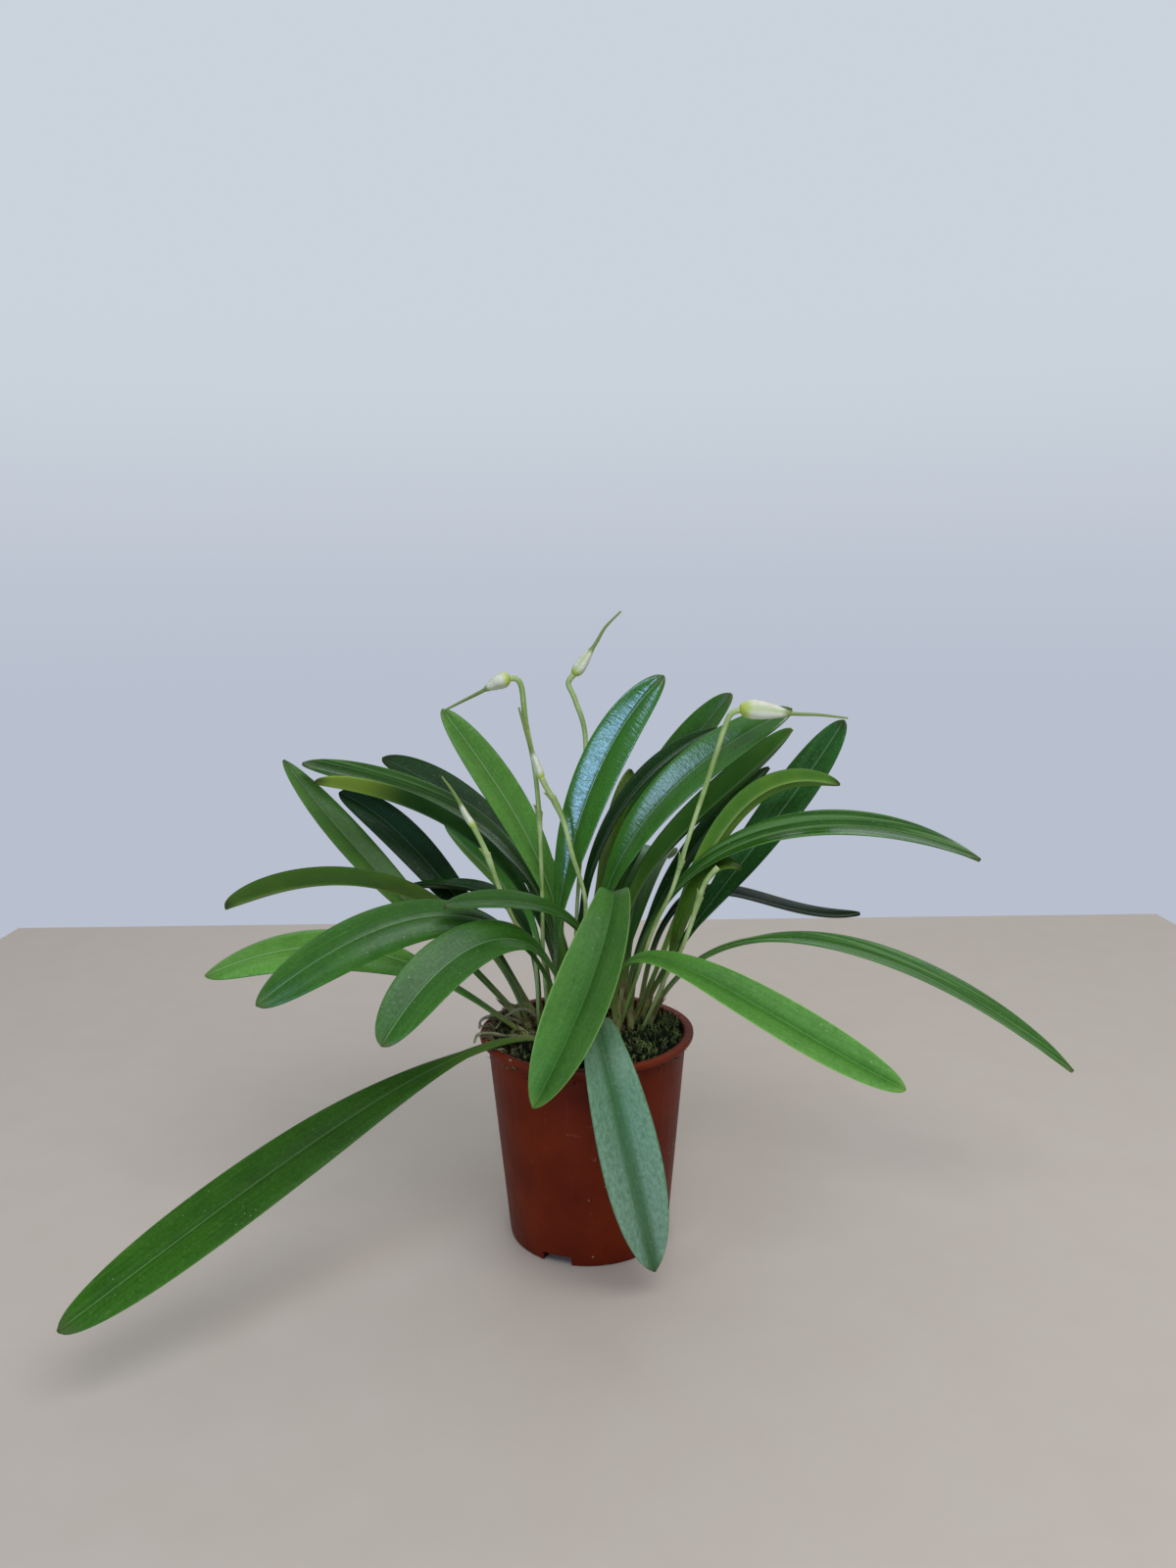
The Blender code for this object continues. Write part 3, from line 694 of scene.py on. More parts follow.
    def relief(self) -> bpy.types.NodeSocket:
        """Relief: ripples across the leaf, strongest where it is glossy, then fine threads, then pores.

        Returns:
            The relief.
        """
        waves = self.drawn_out(0.22, 0.7, 2.0, 0.55, 0.5)
        swell = self.times(waves, self.plus(self.times(self.gloss, 0.8), 0.2))
        relief = self.bump(self.threads, 0.00003, 0.8, self.bump(swell, 0.00012))
        return self.bump(self.specks, self.finish.pores, 0.6, relief)

    def dressed(self) -> bpy.types.Material:
        """Join everything to the shader.

        Returns:
            The material.
        """
        self.shade(Base_Color=self.colour(), Roughness=self.roughness(), Normal=self.relief())
        self.shade(Specular_IOR_Level=self.finish.shine)
        self.shade(Subsurface_Weight=0.05, Subsurface_Radius=(0.5, 1.0, 0.2), Subsurface_Scale=0.0015)
        return self.material


@dataclass(frozen=True)
class StemFinish:
    """Tender flower stem: pale yellow-green with fine lengthwise streaks."""

    base: Colour = tint(190, 206, 128)
    deep: Colour = tint(146, 172, 84)
    pale: Colour = tint(216, 224, 168)

    def build(self) -> bpy.types.Material:
        """Make the stem's material, darker towards its foot.

        Returns:
            The material.
        """
        tree = Tree("stem")
        along, turn = tree.value("along"), tree.value("turn")
        streaks = tree.noise(tree.vector(tree.times(turn, 1.8), tree.times(along, 22.0), 0.3), 1.0)
        patches = tree.noise(tree.place, 90.0)
        colour = tree.mix(tree.rise(patches, 0.35, 0.7), self.deep, self.base)
        colour = tree.mix(tree.rise(streaks, 0.45, 0.75, end=0.6), colour, self.pale)
        colour = tree.mix(tree.rise(along, 0.0, 0.35, 0.55, 0.0), colour, self.deep)
        tree.shade(Base_Color=colour, Roughness=0.42, Normal=tree.bump(streaks, 0.00008))
        tree.shade(Subsurface_Weight=0.12, Subsurface_Radius=(0.8, 1.0, 0.3), Subsurface_Scale=0.0012)
        return tree.material


@dataclass(frozen=True)
class BudFinish:
    """Flower bud: a creamy ribbed body with a yellow-green foot, and a green tail."""

    cream: Colour = tint(240, 238, 206)
    blush: Colour = tint(226, 216, 182)
    foot: Colour = tint(190, 206, 62)
    tail: Colour = tint(132, 152, 72)
    rib: Colour = tint(196, 208, 146)

    def build(self) -> bpy.types.Material:
        """Make the bud's material, by the share of its length, its ribs and its tail.

        Returns:
            The material.
        """
        tree = Tree("bud")
        patches = tree.noise(tree.place, 260.0)
        colour = tree.mix(tree.rise(patches, 0.4, 0.7, end=0.6), self.cream, self.blush)
        colour = tree.mix(tree.rise(tree.value("rib"), 0.55, 1.0, end=0.75), colour, self.rib)
        uneven = tree.plus(tree.value("share"), tree.times(patches, 0.12))
        colour = tree.mix(tree.rise(uneven, 0.10, 0.36, 0.95, 0.0), colour, self.foot)
        colour = tree.mix(tree.rise(tree.value("tail"), 0.0, 1.0), colour, self.tail)
        grain = tree.noise(tree.place, 1600.0)
        tree.shade(Base_Color=colour, Roughness=0.45, Normal=tree.bump(grain, 0.00001))
        tree.shade(Subsurface_Weight=0.25, Subsurface_Radius=(1.0, 1.0, 0.6), Subsurface_Scale=0.002)
        return tree.material


@dataclass(frozen=True)
class PotFinish:
    """Moulded brown-red plastic: faint upright streaks, scuffs, a painted highlight on the lip, water marks
    and a few specks.

    The lip's height and the wall's radius at the foot are in metres, and the slope is how much the radius
    grows with the height.
    """

    base: Colour = tint(120, 38, 10)
    deep: Colour = tint(100, 29, 7)
    scuff_and_highlight: Colour = tint(140, 66, 42)
    lime: Colour = tint(190, 170, 150)
    inside_shade: Colour = tint(46, 30, 22)
    lip: float = 0.0868
    foot: float = 0.034
    slope: float = 0.0912

    def build(self) -> bpy.types.Material:
        """Make the pot's material.

        The inside is where the radius, less the slope times the height, is smaller than the foot's radius; it
        is painted darker there, as shade.

        Returns:
            The material.
        """
        tree = Tree("pot")
        x, y, height = tree.split(tree.place)
        streaks = tree.noise(tree.stretch(tree.place, (1.0, 1.0, 0.10)), 420.0, 3.0, 0.6)
        clouds = tree.noise(tree.place, 34.0, 3.0, 0.6)
        colour = tree.mix(tree.rise(clouds, 0.34, 0.70), self.deep, self.base)
        colour = tree.mix(tree.rise(streaks, 0.56, 0.84, end=0.20), colour, self.scuff_and_highlight)
        # Painted highlight: the lip is painted paler
        lip_highlight = tree.times(tree.rise(height, self.lip - 0.0006, self.lip + 0.0018), 0.25)
        colour = tree.mix(lip_highlight, colour, self.scuff_and_highlight)
        marks = tree.rise(tree.noise(tree.place, 210.0, 4.0, 0.7), 0.64, 0.80, end=0.22)
        colour = tree.mix(tree.times(marks, tree.rise(clouds, 0.45, 0.6)), colour, self.lime)
        specks = tree.rise(tree.cells(tree.place, 150.0), 0.05, 0.11, 0.8, 0.0)
        chosen = tree.rise(tree.noise(tree.place, 90.0, 1.0), 0.62, 0.66)
        colour = tree.mix(tree.times(specks, chosen), colour, self.lime)
        radius = tree.math("SQRT", tree.plus(tree.times(x, x), tree.times(y, y)))
        taper = tree.math("SUBTRACT", radius, tree.times(height, self.slope))
        # Painted shade: the inside of the wall is painted dark
        inside = tree.rise(taper, self.foot - 0.0008, self.foot - 0.0004, 1.0, 0.0)
        colour = tree.mix(tree.times(inside, 0.7), colour, self.inside_shade)
        # Painted shade: the wall is painted darker at its foot, next to the floor
        ground = tree.rise(tree.plus(height, tree.times(clouds, 0.004)), 0.001, 0.008, 0.55, 0.0)
        colour = tree.mix(ground, colour, self.deep)
        rough = tree.rise(tree.plus(streaks, marks), 0.3, 0.9, 0.40, 0.56)
        relief = tree.bump(tree.noise(tree.place, 2400.0), 0.00006, 0.6, tree.bump(streaks, 0.00025, 0.6))
        tree.shade(Base_Color=colour, Roughness=rough, Normal=relief, Specular_IOR_Level=0.10)
        return tree.material


@dataclass(frozen=True)
class EarthFinish:
    """Loose natural matter: two mixed colours, painted shade in its hollows and pale fibres, rough all over.

    Attributes:
        name: The material's name.
        base: The main colour.
        other: The colour of patches.
        hollow_shade: The colour of the painted shade in the hollows.
        fibre: The colour of fine fibres.
        grain: Patches a metre.
        toned: Whether the surface's own tone shifts the colour.
    """

    name: str
    base: Colour
    other: Colour
    hollow_shade: Colour
    fibre: Colour
    grain: float = 300.0
    toned: bool = False

    def build(self) -> bpy.types.Material:
        """Make the material.

        Returns:
            The material.
        """
        tree = Tree(self.name)
        patches = tree.noise(tree.place, self.grain, 4.0, 0.65)
        fine = tree.noise(tree.place, self.grain * 6.0, 3.0, 0.6)
        share = tree.value("tone") if self.toned else patches
        colour = tree.mix(tree.rise(share, 0.3, 0.72), self.base, self.other)
        colour = tree.mix(tree.rise(fine, 0.55, 0.75, end=0.6), colour, self.fibre)
        # Painted shade: the low patches of the relief are painted dark
        colour = tree.mix(tree.rise(patches, 0.25, 0.48, 0.85, 0.0), colour, self.hollow_shade)
        relief = tree.bump(fine, 0.0004, 0.8, tree.bump(patches, 0.0012))
        tree.shade(Base_Color=colour, Roughness=0.9, Normal=relief, Specular_IOR_Level=0.2)
        return tree.material


@dataclass(frozen=True)
class MossFinish:
    """Moss shoots: painted shade, near black, at the foot, bright at the tip, each shoot with its own tone.
    """

    low: Colour = tint(6, 9, 5)
    dull: Colour = tint(18, 30, 12)
    bright: Colour = tint(172, 192, 112)
    dry: Colour = tint(150, 138, 86)

    def build(self) -> bpy.types.Material:
        """Make the shoots' material.

        Returns:
            The material.
        """
        tree = Tree("moss_shoots")
        tone, rise = tree.value("tone"), tree.value("rise")
        leaf = tree.mix(tree.rise(tone, 0.45, 0.92), self.dull, self.bright)
        leaf = tree.mix(tree.rise(tone, 0.90, 0.96), leaf, self.dry)
        # Painted shade: each shoot is painted near black at its foot
        colour = tree.mix(tree.rise(rise, 0.15, 0.95), self.low, leaf)
        tree.shade(Base_Color=colour, Roughness=0.6, Specular_IOR_Level=0.35)
        return tree.material


@dataclass(frozen=True)
class SheathFinish:
    """Papery sheath: dry straw colour with lengthwise fibres, browner at its mouth."""

    base: Colour = tint(172, 176, 104)
    fibre: Colour = tint(206, 206, 150)
    dry: Colour = tint(116, 94, 58)

    def build(self) -> bpy.types.Material:
        """Make the sheaths' material.

        Returns:
            The material.
        """
        tree = Tree("sheath")
        along, turn = tree.value("along"), tree.value("turn")
        fibres = tree.noise(tree.vector(tree.times(turn, 5.0), tree.times(along, 0.8), 0.0), 1.0, 3.0, 0.6)
        patches = tree.noise(tree.place, 200.0, 3.0)
        colour = tree.mix(tree.rise(fibres, 0.4, 0.7), self.base, self.fibre)
        colour = tree.mix(tree.rise(tree.plus(along, patches), 1.1, 1.5, end=0.85), colour, self.dry)
        colour = tree.mix(tree.rise(patches, 0.5, 0.75, end=0.5), colour, self.dry)
        tree.shade(Base_Color=colour, Roughness=0.62, Normal=tree.bump(fibres, 0.0003))
        return tree.material


class Tint(Enum):
    """The leaf finishes, one for each kind of green on the plant.

    The colours follow the order of the finish's fields: base, deep, vein, margin, under and tip.
    """

    GREEN = LeafFinish("leaf_green", tint(56, 106, 26), tint(34, 74, 16), tint(118, 156, 92),
                       tint(70, 116, 40), tint(84, 120, 44), tint(84, 104, 48))
    POLISHED = LeafFinish("leaf_green", tint(62, 118, 30), tint(40, 88, 20), tint(112, 150, 90),
                          tint(60, 106, 36), tint(84, 120, 44), tint(84, 104, 48), rough=0.36, shine=0.85,
                          pores=0.00002, label="_polished")
    DULL = LeafFinish("leaf_green", tint(60, 110, 20), tint(34, 76, 12), tint(112, 156, 78),
                      tint(84, 132, 40), tint(104, 148, 50), tint(84, 104, 48), rough=0.44, shine=0.12,
                      label="_dull")
    BRIGHT = LeafFinish("leaf_bright", tint(70, 124, 36), tint(42, 90, 20), tint(120, 160, 84),
                        tint(150, 184, 92), tint(108, 146, 60), tint(112, 146, 62), rough=0.44, line=0.30,
                        bloom_and_sheen=0.30, shine=0.16)
    SILVER = LeafFinish("leaf_silver", tint(72, 116, 66), tint(52, 92, 44), tint(140, 172, 146),
                        tint(64, 104, 56), tint(104, 134, 84), tint(66, 96, 56), rough=0.42, line=0.0,
                        bloom_and_sheen=0.85)
    PALE = LeafFinish("leaf_pale", tint(94, 142, 56), tint(60, 106, 30), tint(146, 176, 114),
                      tint(54, 88, 34), tint(80, 134, 46), tint(90, 118, 50), shine=0.16)
    DARK = LeafFinish("leaf_dark", tint(34, 70, 26), tint(18, 44, 14), tint(92, 124, 80), tint(22, 40, 16),
                      tint(48, 84, 30), tint(40, 50, 22), shine=0.10)
    YELLOW = LeafFinish("leaf_yellow", tint(94, 128, 34), tint(66, 98, 22), tint(140, 166, 78),
                        tint(54, 78, 22), tint(76, 118, 36), tint(46, 62, 24))


# Pot


@dataclass
class Pot:
    """The moulded pot: a tapering wall with a rolled lip, and a recess with a drain at each foot notch."""

    rim_radius: float = 45.0
    height: float = 89.0
    base_radius: float = 34.0
    neck_radius: float = 41.9
    lip_depth: float = 2.4
    lip_round: float = 0.75
    wall: float = 1.3
    floor: float = 1.4
    sides: int = 160
    recesses: int = 4
    first_recess: float = math.radians(-113.0)
    recess_width: float = 12.6
    recess_height: float = 4.0
    recess_reach: float = 7.0
    drain_width: float = 6.0

    def wall_radius(self, height: float | np.ndarray) -> float | np.ndarray:
        """Outer radius of the straight wall: the base's, plus its share of the growth up to the lip."""
        growth = self.neck_radius - self.base_radius
        return self.base_radius + growth * height / (self.height - self.lip_depth)

    def outline(self) -> np.ndarray:
        """The section's outline, from the middle of the underside out, up, over the lip and back in.

        Returns:
            Radius and height, one row a point.
        """
        under, turn = self.height - self.lip_depth, np.linspace(0.0, math.pi / 2, 6)
        inner = self.wall_radius(under) - self.wall
        foot = [(0.0, 0.0), (12.0, 0.0), (24.0, 0.0), (self.base_radius - 1.0, 0.0)]
        foot += [(self.base_radius - 1.0 + math.sin(a), 1.0 - math.cos(a)) for a in turn[1:]]
        side = [(self.wall_radius(z), z) for z in np.linspace(3.0, under - 0.4, 22)]
        r = self.lip_round
        edge = self.rim_radius - r
        lip = [(self.wall_radius(under) + 0.25, under), (edge - 0.6, under + 0.05)]
        lip += [(edge + r * math.sin(a), under + 0.05 + r - r * math.cos(a)) for a in turn]
        lip += [(edge + r * math.cos(a), self.height - r + r * math.sin(a)) for a in turn]
        lip += [(inner + 1.5, self.height), (inner + 0.7, self.height - 0.25)]
        lip += [(inner + 0.2, self.height - 0.9)]
        inside = [(self.wall_radius(z) - self.wall, z) for z in np.linspace(under - 1.2, self.floor, 14)]
        return np.array(foot + side + lip + inside + [(20.0, self.floor), (0.0, self.floor)])

    def shell(self) -> Surface:
        """The pot before its recesses: the outline turned round Z, a little out of round towards the lip.

        Sines and cosines of a few times the turn, times the square of the height's share, move the radius
        and the height.

        Returns:
            The closed surface.
        """
        outline = self.outline()[1:-1]
        angle = angles_round(self.sides)
        share = (outline[:, 1] / self.height)[:, None] ** 2
        radius = outline[:, :1] + share * (0.16 * np.sin(2 * angle + 0.6) + 0.07 * np.sin(5 * angle))[None, :]
        height = outline[:, 1:] + share * (0.12 * np.sin(2 * angle + 2.0) + 0.05 * np.cos(3 * angle))[None, :]
        points = np.stack([radius * np.cos(angle), radius * np.sin(angle), height], axis=2)
        return Surface.of_rings(points)

    def boxes(self, inner: float, outer: float, width: float, low: float, high: float) -> Surface:
        """Closed boxes set evenly round Z, one at each foot notch.

        Args:
            inner: The radius where they start.
            outer: The radius where they end.
            width: Their width across.
            low: Their lower height.
            high: Their upper height.

        Returns:
            The boxes as one surface: each corner is radius times the notch's direction, plus half the width
            times the direction across it.
        """
        angle = self.first_recess + angles_round(self.recesses)
        radius = np.array([inner, outer, outer, inner] * 2)
        side = np.array([-1, -1, 1, 1] * 2) * width / 2
        height = np.repeat([low, high], 4)
        cos, sin = np.cos(angle)[:, None], np.sin(angle)[:, None]
        points = np.stack([radius * cos - side * sin, radius * sin + side * cos, height + 0 * cos], axis=2)
        return Surface(points.reshape(-1, 3), repeated(ring_faces(2, 4), 8, self.recesses))

    def cut(self, piece: bpy.types.Object, tool: Surface, operation: str) -> None:
        """Join or cut the pot with boxes, and apply it.

        Args:
            piece: The pot.
            tool: The boxes.
            operation: UNION or DIFFERENCE.
        """
        mesh = bpy.data.meshes.new("tool")
        mesh.from_pydata((tool.points * MM).tolist(), [], tool.faces.tolist())
        helper = bpy.data.objects.new("tool", mesh)
        bpy.context.scene.collection.objects.link(helper)
        modifier = piece.modifiers.new("cut", "BOOLEAN")
        modifier.operation, modifier.solver, modifier.object = operation, "EXACT", helper
        graph = bpy.context.evaluated_depsgraph_get()
        made = bpy.data.meshes.new_from_object(piece.evaluated_get(graph), depsgraph=graph)
        piece.modifiers.clear()
        old, piece.data = piece.data, made
        bpy.data.meshes.remove(old)
        bpy.data.objects.remove(helper)
        bpy.data.meshes.remove(mesh)

    def build(self) -> None:
        """Make the pot, thicken it round the recesses, then cut the recesses and the drain slots."""
        piece = self.shell().place("pot_shell", PotFinish().build(), "pot", ("pot",))
        inner, outer, top = self.base_radius - self.recess_reach, self.base_radius, self.recess_height
        walls = self.boxes(inner - self.wall, outer - 0.6, self.recess_width + 2 * self.wall, 0.7,
                           top + self.wall)
        recesses = self.boxes(inner, outer + 4.0, self.recess_width, -2.0, top)
        drains = self.boxes(inner + 0.8, outer - 2.4, self.drain_width, top - 1.0, top + self.wall + 1.0)
        self.cut(piece, walls, "UNION")
        self.cut(piece, recesses, "DIFFERENCE")
        self.cut(piece, drains, "DIFFERENCE")
        piece.data.shade_smooth()
        piece.data.set_sharp_from_angle(angle=math.radians(38.0))


# Filling, moss and what lies on them


@dataclass
class Filling:
    """The bark and moss filling, with its mound, chips of bark and tangles of dry moss.

    The chips' sizes are the least and the greatest half length, half width and half height.
    """

    pot: Pot
    gap: float = 0.3
    edge_height: float = 81.0
    mound_height: float = 4.2
    mound_centre: tuple[float, float] = (1.0, 14.0)
    mound_spread: tuple[float, float] = (28.0, 24.0)
    rings: int = 64
    sides: int = 200
    chips: int = 150
    chip_sizes: tuple[tuple[float, float], ...] = ((1.6, 4.2), (1.0, 2.4), (0.5, 1.1))
    chip_reach: float = 38.0

    def height(self, x: np.ndarray, y: np.ndarray) -> np.ndarray:
        """Height of the plain surface: the edge's, plus the mound's bell, plus small lumps of sines.

        Args:
            x: Places to the right.
            y: Places to the back.

        Returns:
            Heights.
        """
        across = (x - self.mound_centre[0]) / self.mound_spread[0]
        back = (y - self.mound_centre[1]) / self.mound_spread[1]
        lumps = 0.35 * np.sin(0.42 * x + 1.0) * np.cos(0.37 * y) + 0.2 * np.sin(0.9 * x - 0.7 * y)
        return self.edge_height + self.mound_height * np.exp(-(across**2) - back**2) + lumps

    def radius(self, height: float) -> float:
        """Radius of the filling at a height, just clear of the wall."""
        return self.pot.wall_radius(height) - self.pot.wall - self.gap

    def crumbs(self, x: np.ndarray, y: np.ndarray) -> np.ndarray:
        """Height of the rough surface: the plain one, plus coarse and fine uneven ground."""
        coarse, middling, fine = Rumple(3, 7.0).at(x, y), Rumple(4, 2.6).at(x, y), Rumple(5, 1.3).at(x, y)
        return self.height(x, y) + (0.7 * coarse + 0.5 * np.abs(middling) + 0.25 * fine)

    def body(self) -> Surface:
        """The filling: a disc of rough ground over a wall that follows the pot's, stepped over its recesses.

        Returns:
            The closed surface.
        """
        angle = angles_round(self.sides)
        low = self.pot.floor + self.gap
        step = self.pot.recess_height + self.pot.wall + 2 * self.gap
        wall = [(0.5, low), (24.6, low), (24.6, step), (self.radius(step), step)]
        wall += [(self.radius(z), z) for z in np.linspace(20.0, self.edge_height - 2.0, 5)]
        plain = np.array([[(r * math.cos(a), r * math.sin(a), z) for a in angle] for r, z in wall])
        radius = self.radius(self.edge_height) * np.linspace(1.0, 0.01, self.rings)[:, None]
        x, y = radius * np.cos(angle), radius * np.sin(angle)
        top = np.stack([x, y, self.crumbs(x, y)], axis=2)
        return Surface.of_rings(np.concatenate([plain, top]))

    def bark(self) -> Surface:
        """Chips of bark: rounded slabs, each stretched, bent out of true, turned and laid on the ground.

        Returns:
            The chips as one surface, with each chip's tone.
        """
        draw = np.random.default_rng(11)
        grid = np.stack(np.meshgrid(*[[-1, 0, 1]] * 3, indexing="ij"), axis=-1).reshape(-1, 3)
        shell = np.delete(grid, 13, axis=0).astype(float)
        shell = shell * (1.0 - 0.16 * (np.abs(shell).sum(axis=1, keepdims=True) - 1.0) / 2.0)
        size = np.stack([draw.uniform(low, high, self.chips) for low, high in self.chip_sizes], axis=1)
        points = shell[None] * size[:, None] * draw.uniform(0.72, 1.2, (self.chips, 26, 3))
        angle = draw.uniform(0.0, 2 * math.pi, self.chips)
        tip = draw.normal(0.0, 0.35, (self.chips, 2))
        points[:, :, 2] += tip[:, :1] * points[:, :, 0] + tip[:, 1:] * points[:, :, 1]
        cos, sin = np.cos(angle)[:, None], np.sin(angle)[:, None]
        x, y = points[:, :, 0] * cos - points[:, :, 1] * sin, points[:, :, 0] * sin + points[:, :, 1] * cos
        heading = draw.uniform(-0.6, 3.9, self.chips)
        radius = self.chip_reach * np.sqrt(draw.uniform(0.12, 0.92, self.chips))
        centre_x, centre_y = radius * np.cos(heading), radius * np.sin(heading)
        ground = self.height(centre_x, centre_y) + 0.5
        z = points[:, :, 2] + ground[:, None]
        points = np.stack([x + centre_x[:, None], y + centre_y[:, None], z], axis=2)
        return Surface(points.reshape(-1, 3), repeated(chip_faces(shell), 26, self.chips),
                       {"tone": np.repeat(draw.uniform(0.0, 1.0, self.chips), 26)})

    def build(self) -> None:
        """Make the filling and the bark on it."""
        earth = EarthFinish("potting_mix", tint(58, 42, 30), tint(84, 62, 44), tint(20, 15, 12),
                            tint(120, 98, 74))
        self.body().place("filling", earth.build(), "potting_mix", ("potting_mix",), crease=60.0)
        bark = EarthFinish("bark", tint(74, 50, 36), tint(118, 90, 64), tint(34, 24, 18), tint(140, 118, 92),
                           500.0, True)
        self.bark().place("bark_chips", bark.build(), "potting_mix", crease=30.0)


def chip_faces(shell: np.ndarray) -> np.ndarray:
    """Triangles over the 26 outer points of a 3 by 3 by 3 block.

    On each of the six sides the nine points form four squares of two triangles each, turned to face out:
    where a triangle's normal points against its side's direction, its order is reversed.

    Args:
        shell: The 26 points, which round the block but keep each point's signs.

    Returns:
        48 triangles.
    """
    signs = np.round(np.sign(np.where(np.abs(shell) < 1e-6, 0.0, shell))).astype(int)
    triangles = []
    for axis in range(3):
        for side in (-1, 1):
            others = [k for k in range(3) if k != axis]
            at = {tuple(signs[n, others]): n for n in range(26) if signs[n, axis] == side}
            for a in (-1, 0):
                for b in (-1, 0):
                    square = [at[(a, b)], at[(a + 1, b)], at[(a + 1, b + 1)], at[(a, b + 1)]]
                    triangles += [[square[0], square[1], square[2]], [square[0], square[2], square[3]]]
    faces = np.array(triangles)
    corners = shell[faces]
    normal = np.cross(corners[:, 1] - corners[:, 0], corners[:, 2] - corners[:, 0])
    inward = (normal * corners.mean(axis=1)).sum(axis=1) < 0.0
    faces[inward] = faces[inward][:, ::-1]
    return faces


